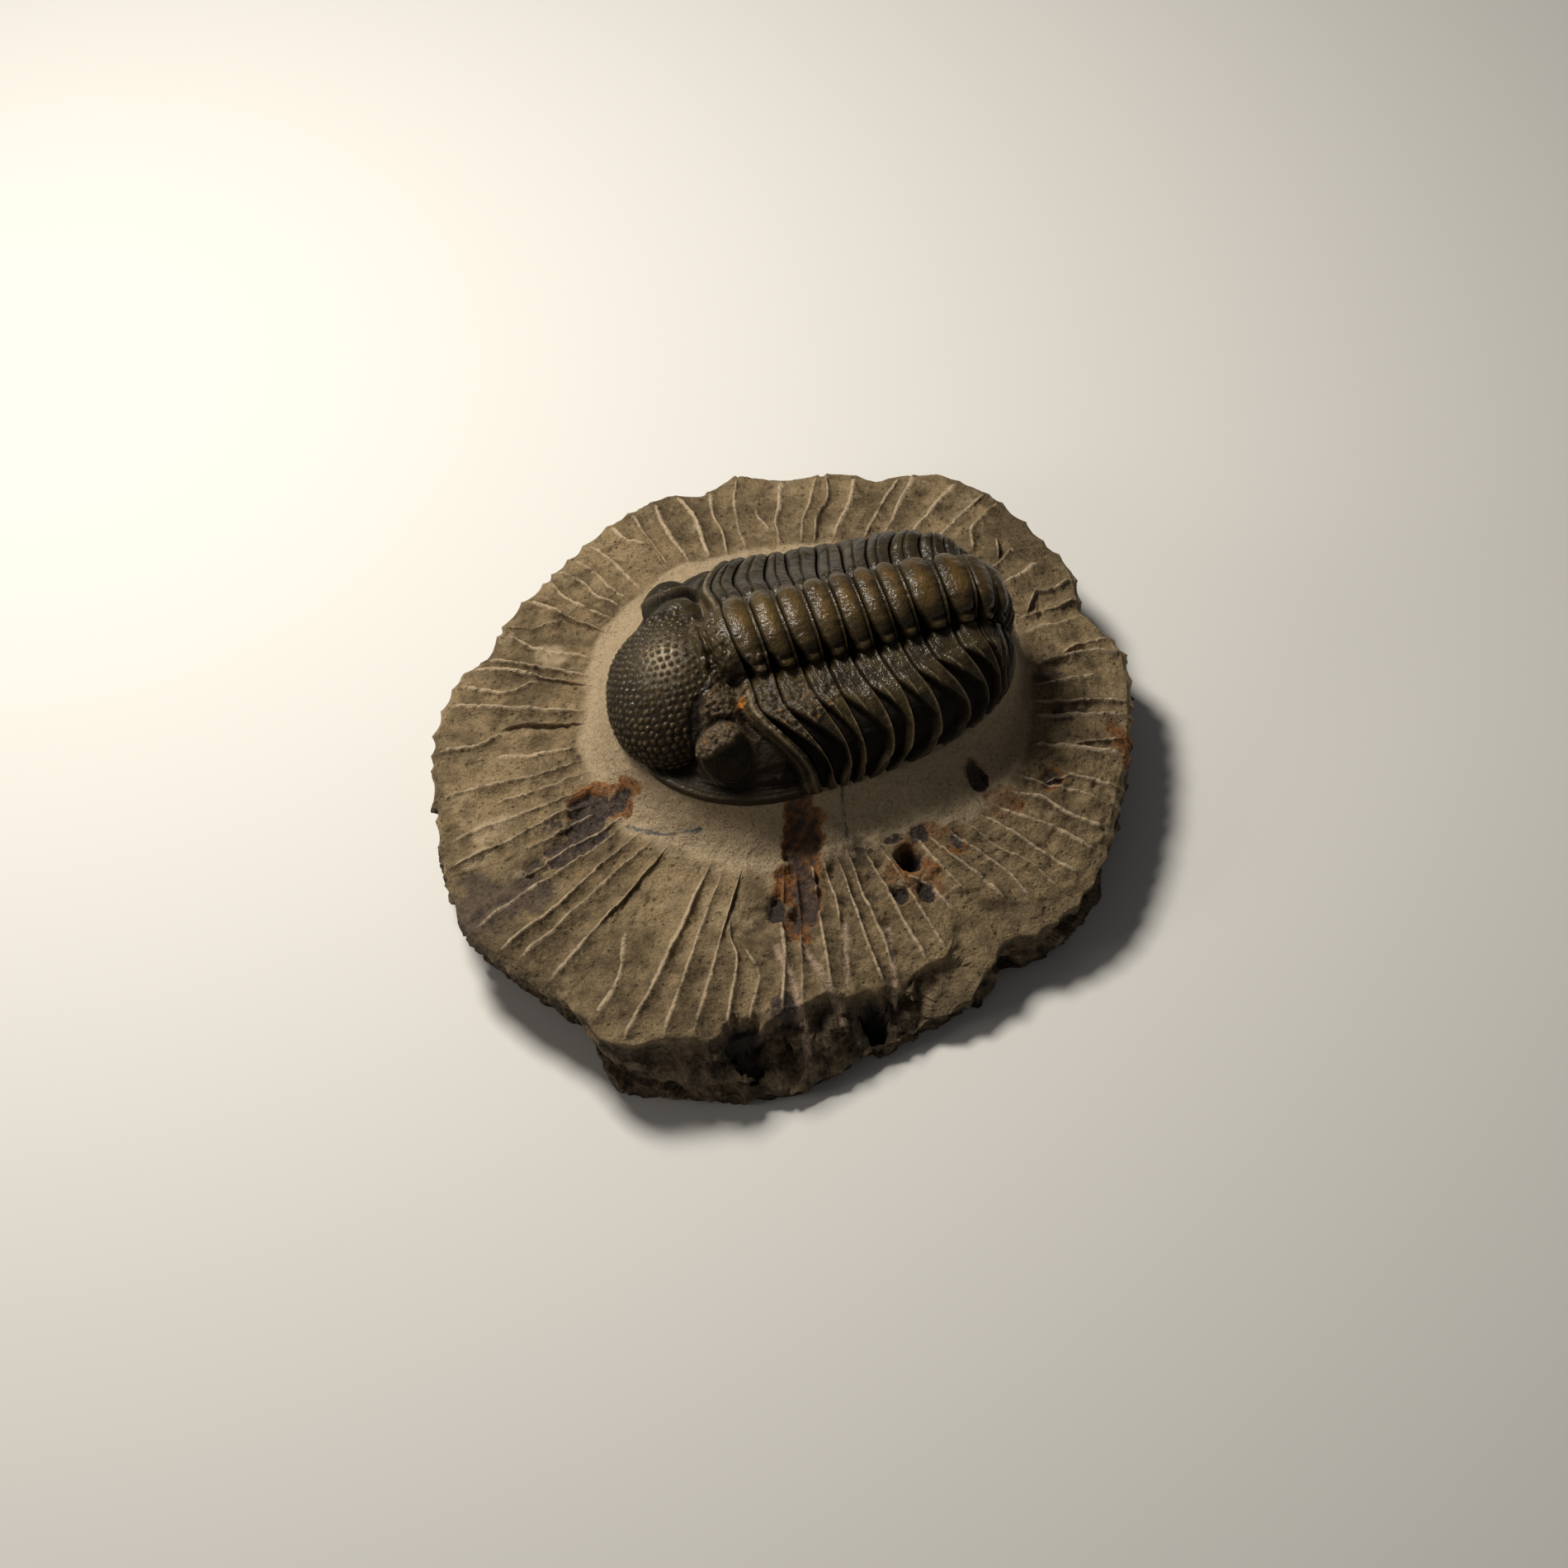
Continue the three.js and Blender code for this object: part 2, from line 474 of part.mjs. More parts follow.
// Joins two closed loops of points, the second with the same count or twice as many
function band(mesh, inner, outer) {
  const double = outer.count === 2 * inner.count;
  for (let i = 0; i < inner.count; i++) {
    const a = inner.start + i;
    const b = inner.start + ((i + 1) % inner.count);
    if (double) {
      const c = outer.start + 2 * i;
      const e = outer.start + ((2 * i + 2) % outer.count);
      mesh.faces.push(a, c, c + 1, a, c + 1, b, b, c + 1, e);
    } else {
      const c = outer.start + i;
      const d = outer.start + ((i + 1) % outer.count);
      mesh.faces.push(a, c, d, a, d, b);
    }
  }
}

function addLoop(mesh, count, at) {
  const start = mesh.points.length;
  for (let i = 0; i < count; i++) mesh.points.push(at(360 * (i / count), i % 2 === 0 ? 1 : -1));
  return { start, count };
}

// The slab without the rock inside the shell: a wall round the shell's foot, a tooled top of
// ridges and hollows, a crest, the broken edge below it, and a flat underside.
function slabGeometry() {
  const mesh = { points: [], faces: [] };
  const radians = THREE.MathUtils.degToRad;
  const top = mesh.points.push(new THREE.Vector3(0, AXIS_Y, SHOULDER_Z)) - 1;
  const wall = WALL.map(([out, z]) => addLoop(mesh, RIDGES, (degrees) =>
    polar(degrees, marginRadius(radians(degrees), out), z)));
  const [footOut, footZ] = WALL.at(-1);
  const tooled = TOOLED_SHARES.map((share) => addLoop(mesh, 2 * RIDGES, (degrees, ridge) => {
    const [crestR] = aroundTable(RIM, degrees);
    const [crestZ] = aroundTable(BREAK, degrees);
    const r = lerp(marginRadius(radians(degrees), footOut), crestR, share);
    const rise = ridge * RIDGE_RISE * Math.min(1, share * 2);
    return polar(degrees, r, lerp(footZ, crestZ, share) + rise);
  }));
  const edge = addLoop(mesh, 2 * RIDGES, (degrees, ridge) => {
    const [crestR] = aroundTable(RIM, degrees);
    const [, out, z] = aroundTable(BREAK, degrees);
    return polar(degrees, crestR + out + ridge * SCALLOP, z);
  });
  const foot = addLoop(mesh, 2 * RIDGES, (degrees) => {
    const [crestR] = aroundTable(RIM, degrees);
    const [, out] = aroundTable(BREAK, degrees);
    const cut = UNDERCUT * ramp(degrees, ...UNDERCUT_START) * (1 - ramp(degrees, ...UNDERCUT_END));
    return polar(degrees, crestR + out - WALL_LEAN - cut, 0);
  });
  const loops = [...wall, ...tooled, edge, foot];
  for (let i = 0; i + 1 < loops.length; i++) band(mesh, loops[i], loops[i + 1]);
  const base = mesh.points.push(new THREE.Vector3(0, 0, 0)) - 1;
  const first = loops[0];
  for (let i = 0; i < first.count; i++) {
    mesh.faces.push(top, first.start + i, first.start + ((i + 1) % first.count));
  }
  for (let i = 0; i < foot.count; i++) {
    mesh.faces.push(base, foot.start + ((i + 1) % foot.count), foot.start + i);
  }
  return indexed(mesh.points.flatMap((p) => [p.x, p.y, p.z]), mesh.faces);
}

// The rock that fills the shell, one gap below the plates, down into the slab
const FILL_LINES = [12, 11, 10, 9, 8, 7, 6, 5, 4, 3, 2, 1, 0, -1.5, -3, -4.5, -6];
const FILL_FOOT = 2; // below the shoulder
const HEAD_FILL_DROP = 0.7; // more room under the head's uneven inside
function fillGeometry() {
  const rings = FILL_LINES.map((line) => {
    const upper = SIDES.map((side) => {
      const under = line > 0 ? -PLATE_THICKNESS : underHeight(line, side) - HEAD_FILL_DROP;
      return place(line, side, Math.min(under, -PLATE_THICKNESS) - JOINT_GAP);
    });
    const lower = upper.map((p) => new THREE.Vector3(p.x, p.y, SHOULDER_Z - FILL_FOOT)).reverse();
    return [...upper, ...lower];
  });
  return loft(rings, SIDES.length);
}

// Pits in the rock: middle and radii of each
const PITS = [
  { at: [-3.4, -24.6, 15.2], size: [2.0, 2.3, 2.2] },
  { at: [-5.2, -28.2, 14.2], size: [2.2, 2.6, 2.2] },
  { at: [-6.6, -31.6, 13.8], size: [1.5, 1.9, 1.7] },
  { at: [10.8, -27.6, 13.8], size: [1.4, 1.4, 2.4] },
  { at: [11.4, -31.6, 13.4], size: [1.0, 1.0, 1.6] },
  { at: [23.9, -19.0, 17.6], size: [1.2, 1.9, 2.0] },
  { at: [-30.6, -7.4, 14.2], size: [2.6, 2.0, 1.5] },
  { at: [-34.0, -9.0, 13.8], size: [1.8, 2.4, 1.3] },
];

const wasm = await Module();
wasm.setup();

function toSolid(geometry) {
  const bare = geometry.clone();
  bare.deleteAttribute('normal');
  bare.deleteAttribute('uv');
  const merged = mergeVertices(bare, 1e-4);
  return new wasm.Manifold(new wasm.Mesh({
    numProp: 3,
    vertProperties: new Float32Array(merged.attributes.position.array),
    triVerts: new Uint32Array(merged.index.array),
  }));
}

function fromSolid(solid) {
  const mesh = solid.getMesh();
  return indexed(Array.from(mesh.vertProperties), Array.from(mesh.triVerts));
}

function matrixGeometry() {
  let rock = toSolid(slabGeometry()).add(toSolid(fillGeometry()));
  for (const pit of PITS) {
    const ball = new THREE.IcosahedronGeometry(1, 1).scale(...pit.size).translate(...pit.at);
    rock = rock.subtract(toSolid(ball));
  }
  return fromSolid(rock);
}

const group = new THREE.Group();
group.add(named('matrix', matrixGeometry(), STONE));
group.add(named('cephalon', headShield(), SHELL));
for (let number = 1; number <= SEGMENTS; number++) {
  const name = `thoracic_segment_${String(number).padStart(2, '0')}`;
  group.add(named(name, thoraxPlate(number), SHELL));
}
group.add(named('pygidium', tailShield(), SHELL));

export default group;
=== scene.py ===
# %% [markdown]
# # A trilobite on its rock
# An arched trilobite stands on a raised, sandblasted pedestal in a slab of limestone. Round the
# pedestal the rock was cut back with a vibrating chisel, which left thin pale ridges that run out
# to a scalloped edge. The lesson rebuilds the fossil as surfaces worked out with numpy: one smooth
# body carries every plate, and each plate adds its own relief to it.

# %% Load the fixed model
import itertools
import math

import bpy
import numpy as np
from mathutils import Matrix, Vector


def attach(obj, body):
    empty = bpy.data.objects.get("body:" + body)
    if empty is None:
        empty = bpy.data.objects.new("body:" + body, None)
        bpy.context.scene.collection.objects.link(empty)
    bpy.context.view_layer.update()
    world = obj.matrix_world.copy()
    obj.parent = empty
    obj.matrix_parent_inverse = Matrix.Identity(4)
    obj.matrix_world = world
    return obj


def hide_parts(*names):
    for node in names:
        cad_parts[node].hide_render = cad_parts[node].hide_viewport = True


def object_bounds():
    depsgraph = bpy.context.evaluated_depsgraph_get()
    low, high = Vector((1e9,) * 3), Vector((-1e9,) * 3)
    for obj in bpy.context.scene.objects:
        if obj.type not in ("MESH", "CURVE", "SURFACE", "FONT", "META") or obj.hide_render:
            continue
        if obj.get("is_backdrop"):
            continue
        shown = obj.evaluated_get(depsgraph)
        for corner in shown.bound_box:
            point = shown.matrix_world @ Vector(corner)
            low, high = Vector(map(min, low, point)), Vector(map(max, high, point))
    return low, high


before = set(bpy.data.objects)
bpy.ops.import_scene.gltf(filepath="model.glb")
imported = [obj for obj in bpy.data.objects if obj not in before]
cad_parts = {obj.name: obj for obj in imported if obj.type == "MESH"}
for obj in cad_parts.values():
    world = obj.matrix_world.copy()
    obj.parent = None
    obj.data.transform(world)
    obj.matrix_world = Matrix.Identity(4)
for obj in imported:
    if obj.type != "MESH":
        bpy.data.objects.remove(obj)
cad_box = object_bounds()
MM = 0.001
SEGMENTS = 11


def box_in_mm(box):
    """The two corners of a box in millimetres, to one decimal."""
    return [[round(v / MM, 1) for v in corner] for corner in box]


print("box of the solids, mm:", box_in_mm(cad_box))

# %% [markdown]
# ## Camera, light and floor
# The photograph looks down on the slab from the animal's left side with a long lens. The main lamp
# stands high up behind the fossil on the left, so that every ridge throws a short shadow towards
# the viewer. A weaker one stands low on the left and picks out the near plates. One could light it
# from all sides, but the relief would then vanish: low light across a surface is what shows it.

# %% Camera
AZIMUTH = math.radians(-17)
ELEVATION = math.radians(52)
DISTANCE = 0.560
AIM = Vector((-0.0028, -0.0103, 0.014))


def away_from(azimuth, elevation):
    """The direction from the object to an onlooker: azimuth 0 looks along +Y."""
    flat = math.cos(elevation)
    return Vector((math.sin(azimuth) * flat, -math.cos(azimuth) * flat, math.sin(elevation)))


def point_at(thing, direction, distance):
    """Puts a camera or lamp at a distance from the aim and turns it to look there."""
    thing.location = AIM + direction * distance
    thing.rotation_mode = "QUATERNION"
    thing.rotation_quaternion = (-direction).to_track_quat("-Z", "Y")
    bpy.context.scene.collection.objects.link(thing)
    print(f"{thing.name}: {distance * 1000:.0f} mm away, {thing.location.z * 1000:.0f} mm high")


camera = bpy.data.objects.new("camera", bpy.data.cameras.new("camera"))
camera.data.lens = 90
camera.data.sensor_width = 36
camera.data.clip_end = 20
point_at(camera, away_from(AZIMUTH, ELEVATION), DISTANCE)
bpy.context.scene.camera = camera

# %% Lamps
# Each row: azimuth and elevation in degrees, distance and size in metres, watts, colour
LAMPS = {
    "key_lamp": (-148, 55, 0.34, 0.09, 1.35, (1.0, 0.95, 0.85)),
    "side_lamp": (-86, 24, 0.55, 0.16, 0.34, (1.0, 0.94, 0.85)),
}
WORLD_COLOUR = (0.90, 0.89, 0.88)
WORLD_STRENGTH = 0.08


def add_lamp(name, azimuth, elevation, distance, size, watts, colour):
    """A square area lamp that looks at the fossil."""
    data = bpy.data.lights.new(name, "AREA")
    data.size = size
    data.energy = watts
    data.color = colour
    lamp = bpy.data.objects.new(name, data)
    point_at(lamp, away_from(math.radians(azimuth), math.radians(elevation)), distance)


for name, settings in LAMPS.items():
    add_lamp(name, *settings)

world = bpy.data.worlds.new("studio")
world.use_nodes = True
background = world.node_tree.nodes["Background"]
background.inputs["Color"].default_value = (*WORLD_COLOUR, 1)
background.inputs["Strength"].default_value = WORLD_STRENGTH
bpy.context.scene.world = world
bpy.context.scene.view_settings.view_transform = "Standard"

# %% Floor
FLOOR_HALF = 1.5
FLOOR_Z = -0.0001
floor_mesh = bpy.data.meshes.new("floor")
corners = [(x * FLOOR_HALF, y * FLOOR_HALF, FLOOR_Z) for x, y in ((-1, -1), (1, -1), (1, 1), (-1, 1))]
floor_mesh.from_pydata(corners, [], [(0, 1, 2, 3)])
floor = bpy.data.objects.new("floor", floor_mesh)
bpy.context.scene.collection.objects.link(floor)
floor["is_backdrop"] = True
print("floor:", 2 * FLOOR_HALF, "m wide")

# %% [markdown]
# ## Tools for surfaces
# Every piece here is a grid of points, worked out as whole arrays. A grid is an open sheet, and a
# real plate has a thickness, so a fine upper sheet is closed by a coarse lower one, with a strip
# of triangles round the rim. A Solidify modifier could do it, but it would double the faces on a
# side that nobody sees.


# %% Grids to closed meshes
def grid_quads(rows, columns, start=0):
    """Quads of a grid of points stored row by row. They face up when rows run along +X and
    columns along +Y."""
    index = start + np.arange(rows * columns).reshape(rows, columns)
    corners = [index[:-1, :-1], index[1:, :-1], index[1:, 1:], index[:-1, 1:]]
    return np.stack(corners, axis=-1).reshape(-1, 4)


def rim_of(rows, columns, start=0):
    """Indices round the edge of a grid, anticlockwise seen from above, the first not repeated."""
    index = start + np.arange(rows * columns).reshape(rows, columns)
    return np.concatenate([index[:-1, 0], index[-1, :-1], index[:0:-1, -1], index[0, :0:-1]])


def closed_sheet(upper, lower):
    """Points and faces of a plate. The lower grid has a whole fraction of the upper one's steps.
    Between the rims, each coarse step gets a fan from its first lower point to the fine upper
    points, and one more triangle."""
    rows, columns = upper.shape[:2]
    low_rows, low_columns = lower.shape[:2]
    start = rows * columns
    rim = rim_of(rows, columns)
    low_rim = rim_of(low_rows, low_columns, start)
    step = len(rim) // len(low_rim)
    ahead = np.roll(rim, -1)
    low_ahead = np.roll(low_rim, -1)
    fans = np.stack([rim, np.repeat(low_rim, step), ahead], axis=-1)
    ends = np.stack([low_rim, low_ahead, ahead[step - 1 :: step]], axis=-1)
    below = grid_quads(low_rows, low_columns, start)[:, ::-1]
    faces = [*grid_quads(rows, columns).tolist(), *below.tolist(), *fans.tolist(), *ends.tolist()]
    return np.concatenate([upper.reshape(-1, 3), lower.reshape(-1, 3)]), faces


print("a grid of 3 x 4 points:", len(grid_quads(3, 4)), "quads,", len(rim_of(3, 4)), "points on its rim")


# %% Meshes with marks
def add_piece(name, points, faces, material, slot, marks):
    """Makes the object from points in millimetres, and stores each mark, a number from 0 to 1 at
    every point of the visible sheet, as a named attribute for the material. The rest gets 0."""
    mesh = bpy.data.meshes.new(name)
    mesh.from_pydata((points * MM).tolist(), [], faces)
    mesh.shade_smooth()
    for mark, values in marks.items():
        everywhere = np.zeros(len(points), dtype=np.float32)
        everywhere[: values.size] = values.ravel()
        mesh.attributes.new(mark, "FLOAT", "POINT").data.foreach_set("value", everywhere)
    mesh.materials.append(material)
    piece = bpy.data.objects.new(f"{name}_surface", mesh)
    bpy.context.scene.collection.objects.link(piece)
    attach(piece, "root")
    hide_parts(name)
    triangles = sum(len(face) - 2 for face in faces)
    print(f"{name}: {len(points)} points, {triangles} triangles")
    return piece


print("1 mm is stored as", MM, "m")


# %% Random lumps and simple curves
def ease(t):
    """The ease curve 3t^2 - 2t^3, which starts and ends level."""
    return t * t * (3 - 2 * t)


def ramp(value, low, high):
    """0 below low, 1 above high, and the ease curve between them."""
    return ease(np.clip((value - low) / (high - low), 0, 1))


def fade(value, low, high):
    """The other way round: 1 below low, 0 above high."""
    return 1 - ramp(value, low, high)


def bump(value, middle, width):
    """A bell: 1 at the middle, exp(-1) one width away."""
    return np.exp(-(((value - middle) / width) ** 2))


def grade(share, first, last):
    """From a first value at share 0 to a last one at share 1, in even steps."""
    return first + (last - first) * share


def lumps(points, size, seed):
    """Smooth random heights from -1 to 1: a random number at each corner of a lattice of the
    given size, blended over the eight corners round each point with the ease curve."""
    table = np.random.default_rng(seed).uniform(-1, 1, (32, 32, 32))
    place = points / size
    cell = np.floor(place).astype(int)
    t = ease(place - cell)
    total = np.zeros(points.shape[:-1])
    for corner in itertools.product((0, 1), repeat=3):
        weight = np.prod(np.where(corner, t, 1 - t), axis=-1)
        i, j, k = np.moveaxis((cell + corner) % 32, -1, 0)
        total += weight * table[i, j, k]
    return total


def rough(points, size, seed, octaves=3):
    """Lumps on lumps: each octave is half the size and about half the height of the last."""
    return sum(lumps(points, size / 2**i, seed + i) * 0.55**i for i in range(octaves))


def chips(points, size, seed):
    """Broken faces from -1 to 1: space is parted among scattered seeds, one to a cell of the
    given size, and each seed gives its part a flat face with a height and a tilt of its own."""
    table = np.random.default_rng(seed).uniform(-1, 1, (16, 16, 16, 7))
    place = points / size
    cell = np.floor(place).astype(int)
    nearest = np.full(points.shape[:-1], 99.0)
    height = np.zeros(points.shape[:-1])
    for step in itertools.product((-1, 0, 1), repeat=3):
        here = cell + step
        i, j, k = np.moveaxis(here % 16, -1, 0)
        drawn = table[i, j, k]
        offset = place - here - 0.5 - 0.45 * drawn[..., :3]
        away = np.linalg.norm(offset, axis=-1)
        face = 0.5 * drawn[..., 3] + 0.6 * np.sum(offset * drawn[..., 4:], axis=-1)
        height = np.where(away < nearest, face, height)
        nearest = np.minimum(away, nearest)
    return height


sample = rough(np.random.default_rng(1).uniform(0, 50, (1000, 3)), 5.0, 1)
print(f"lumps run from {sample.min():.2f} to {sample.max():.2f}")

# %% [markdown]
# ## The smooth body
# All plates lie on one body. Nineteen cross lines run over it from one edge of the shell to the
# other, each with a crest on the axis, a furrow at the foot of the axial lobe, and a tip on the
# shell's lower edge. A point is named by its line and by its side, from -1 at the near edge over 0
# at the crest to 1 at the far edge. One could sculpt each plate by itself, but then neighbours
# would not fit, and here a joint is the same curve for both.

# %% Sizes of the body, in millimetres
AXIS_Y = 3.7
MARGIN_Z = 20.3
MARGIN_MID_X = -4.0
MARGIN_HALF_WIDTH = 21.7
MARGIN_FRONT = 20.4
MARGIN_REAR = 39.4
MARGIN_NEAR_POWER = 2.15
MARGIN_FAR_POWER = 1.5
MARGIN_REAR_POWER = 2.4
RING_SHARE = 0.32
SHOULDER_SHARE = 0.26
SHOULDER_OUT = 0.385
RING_POWER = 0.9
LINE_BEND = (0.2, 0.85)
BOW_SCALE = 27 / 4
LEAN = -0.044
FIRST_LINE = -6
LAST_LINE = 12
# Each row: crest x and z, furrow x and z, half width of the lobe, tip x, sweep, shoulder's fall,
# height of the far flank as a share of the near one's
LINES = np.array([
    (-24.4, 0.0, -23.0, 0.0, 7.2, -20.2, 0.0, 0.60, 1.00),
    (-23.9, 5.4, -22.9, 3.8, 8.4, -18.2, 0.0, 0.62, 0.96),
    (-21.7, 9.2, -21.0, 6.8, 8.8, -15.4, 0.0, 0.66, 0.90),
    (-18.2, 11.6, -17.6, 8.8, 8.6, -12.0, 0.0, 0.70, 0.82),
    (-14.3, 12.4, -13.7, 9.2, 7.3, -8.0, 0.0, 0.78, 0.76),
    (-10.8, 14.1, -9.9, 10.3, 6.5, -3.8, -0.4, 0.88, 0.73),
    (-7.2, 15.4, -5.9, 10.9, 6.3, 0.6, -0.7, 0.95, 0.71),
    (-2.9, 15.6, -2.4, 11.0, 6.4, 2.8, -0.6, 0.95, 0.69),
    (1.0, 15.7, 1.8, 10.8, 6.4, 4.4, 1.0, 0.95, 0.66),
    (5.0, 15.7, 5.4, 10.7, 6.4, 6.7, 0.9, 0.95, 0.64),
    (8.9, 15.7, 9.0, 10.7, 6.4, 9.4, 2.6, 0.95, 0.63),
    (12.4, 15.8, 12.9, 10.8, 6.35, 12.2, 2.7, 0.95, 0.66),
    (15.8, 15.9, 16.4, 10.9, 6.2, 17.6, 1.9, 0.95, 0.84),
    (19.3, 15.9, 19.8, 10.9, 5.9, 22.7, 1.5, 0.95, 1.03),
    (24.4, 15.6, 24.3, 10.8, 5.7, 26.5, 0.9, 0.95, 1.08),
    (29.2, 14.6, 28.0, 10.4, 5.4, 28.6, 1.0, 0.95, 1.06),
    (32.5, 12.1, 30.4, 9.0, 5.0, 29.9, 0.7, 0.95, 1.00),
    (34.6, 8.4, 32.0, 6.8, 4.5, 31.0, 0.4, 0.95, 1.00),
    (35.4, 0.0, 34.4, 0.0, 3.2, 32.2, 0.0, 0.95, 1.00),
])
print(f"{len(LINES)} cross lines, {LINES[:, 1].max()} mm high, {2 * MARGIN_HALF_WIDTH} mm wide at the edge")


# %% Cross lines and the shell's lower edge
def line_sizes(line):
    """The nine sizes of a cross line between the rows, on the smooth Catmull-Rom curve through
    the two rows before and the two after."""
    place = np.clip(line, FIRST_LINE, LAST_LINE) - FIRST_LINE
    row = np.minimum(place.astype(int), len(LINES) - 2)
    t = (place - row)[..., None]
    p, q, r, s = (LINES[np.clip(row + k, 0, len(LINES) - 1)] for k in (-1, 0, 1, 2))
    curve = 2 * q + (r - p) * t + (2 * p - 5 * q + 4 * r - s) * t**2 + (3 * q - p - 3 * r + s) * t**3
    return np.moveaxis(curve / 2, -1, 0)


def margin_power(x, y):
    """The power of the lower edge's superellipse: near front, far front, or rear."""
    ahead = np.where(y < 0, MARGIN_NEAR_POWER, MARGIN_FAR_POWER)
    return np.where(x < MARGIN_MID_X, ahead, MARGIN_REAR_POWER)


def margin_reach(x):
    """How far the lower edge reaches from its widest place, to the front or to the rear."""
    return np.where(x < MARGIN_MID_X, MARGIN_FRONT, MARGIN_REAR)


def margin_half_width(x, side):
    """Half width of the shell's lower edge, a superellipse: W (1 - |x|^n)^(1/n)."""
    power = margin_power(x, side)
    share = np.clip(np.abs(x - MARGIN_MID_X) / margin_reach(x), 0, 1)
    return MARGIN_HALF_WIDTH * (1 - share**power) ** (1 / power)


def margin_share(x, y, out):
    """0 at the middle of the widest place, 1 on the lower edge pushed out by a distance."""
    power = margin_power(x, y)
    along = np.abs(x - MARGIN_MID_X) / (margin_reach(x) + out)
    across = np.abs(y) / (MARGIN_HALF_WIDTH + out)
    return (along**power + across**power) ** (1 / power)


print(f"20 mm behind the middle the edge is {margin_half_width(20.0, -1.0):.1f} mm off the axis")


# %% Points and directions on the body
def body_point(line, side):
    """A point of the smooth body, z above the shell's edge. The axial lobe is a quarter ellipse
    from crest to furrow; the flank is nearly level to a shoulder and then a quarter ellipse down
    to the edge, while x swings from the furrow to the tip and bows by the sweep."""
    crest_x, crest_z, furrow_x, furrow_z, half, tip, sweep, fall, far = line_sizes(line)
    out = np.abs(side)
    sign = np.where(side < 0, -1.0, 1.0)
    turn = np.clip(out / RING_SHARE, 0, 1) * math.pi / 2
    rise = np.cos(turn) ** RING_POWER
    lean = LEAN * crest_z
    lobe = np.stack([furrow_x + (crest_x - furrow_x) * rise,
                     sign * half * np.sin(turn) + lean,
                     furrow_z + (crest_z - furrow_z) * rise], axis=-1)
    flank = np.clip((out - RING_SHARE) / (1 - RING_SHARE), 0, 1)
    edge = margin_half_width(tip, side)
    half = half + sign * lean
    shoulder = half + (edge - half) * SHOULDER_OUT
    level = np.minimum(flank / SHOULDER_SHARE, 1)
    turn = np.clip((flank - SHOULDER_SHARE) / (1 - SHOULDER_SHARE), 0, 1) * math.pi / 2
    bow = BOW_SCALE * flank**2 * (1 - flank)
    x = furrow_x + (tip - furrow_x) * ramp(flank, *LINE_BEND) + sweep * bow
    y = sign * (half + (shoulder - half) * level + (edge - shoulder) * np.sin(turn))
    z = furrow_z * (1 + (fall - 1) * level**2) * np.cos(turn)
    z = np.where(side > 0, z * (1 + (far - 1) * ramp(flank, 0, 0.5)), z)
    return np.where((out < RING_SHARE)[..., None], lobe, np.stack([x, y, z], axis=-1))


DOME_HEIGHT = 17
DOME_TILT = 1.4
HEAD_BLEND = (-2, -0.5)
TAIL_BLEND = (11, 12)


def unit(vectors):
    """The same directions with length 1."""
    return vectors / np.linalg.norm(vectors, axis=-1, keepdims=True)


def body_normal(line, side):
    """The way out of the body: on the thorax from the slopes along and across it, on the head and
    the tail's end that of one smooth dome, because the lines crowd together there."""
    along = body_point(line + 0.5, side) - body_point(line - 0.5, side)
    across = body_point(line, np.minimum(side + 0.05, 1)) - body_point(line, np.maximum(side - 0.05, -1))
    facing = unit(np.cross(along, across))
    point = body_point(line, side)
    dome = unit(np.stack([(point[..., 0] - MARGIN_MID_X) / margin_reach(point[..., 0]) ** 2,
                          point[..., 1] / MARGIN_HALF_WIDTH**2,
                          DOME_TILT * np.maximum(point[..., 2], 0) / DOME_HEIGHT**2], axis=-1))
    on_thorax = (ramp(line, *HEAD_BLEND) * fade(line, *TAIL_BLEND))[..., None]
    return unit(dome + (facing - dome) * on_thorax)


def lift(points, normals, height):
    """Raises body points by a height and puts them in the slab's frame."""
    return points + normals * height[..., None] + (0, AXIS_Y, MARGIN_Z)


crest = body_point(np.full(1, 5.5), np.zeros(1))[0]
print("crest of the sixth plate, mm:", crest.round(1))

# %% [markdown]
# ## Materials
# A material here is a stack of coats: a base colour, and over it one coat after another, each laid
# on by an amount from 0 to 1. Most amounts are marks that the shape functions store on the
# points, so a colour always follows its own relief. A painted image could carry the colours too,
# but it would need an unwrapped surface, and its grain would blur close up.


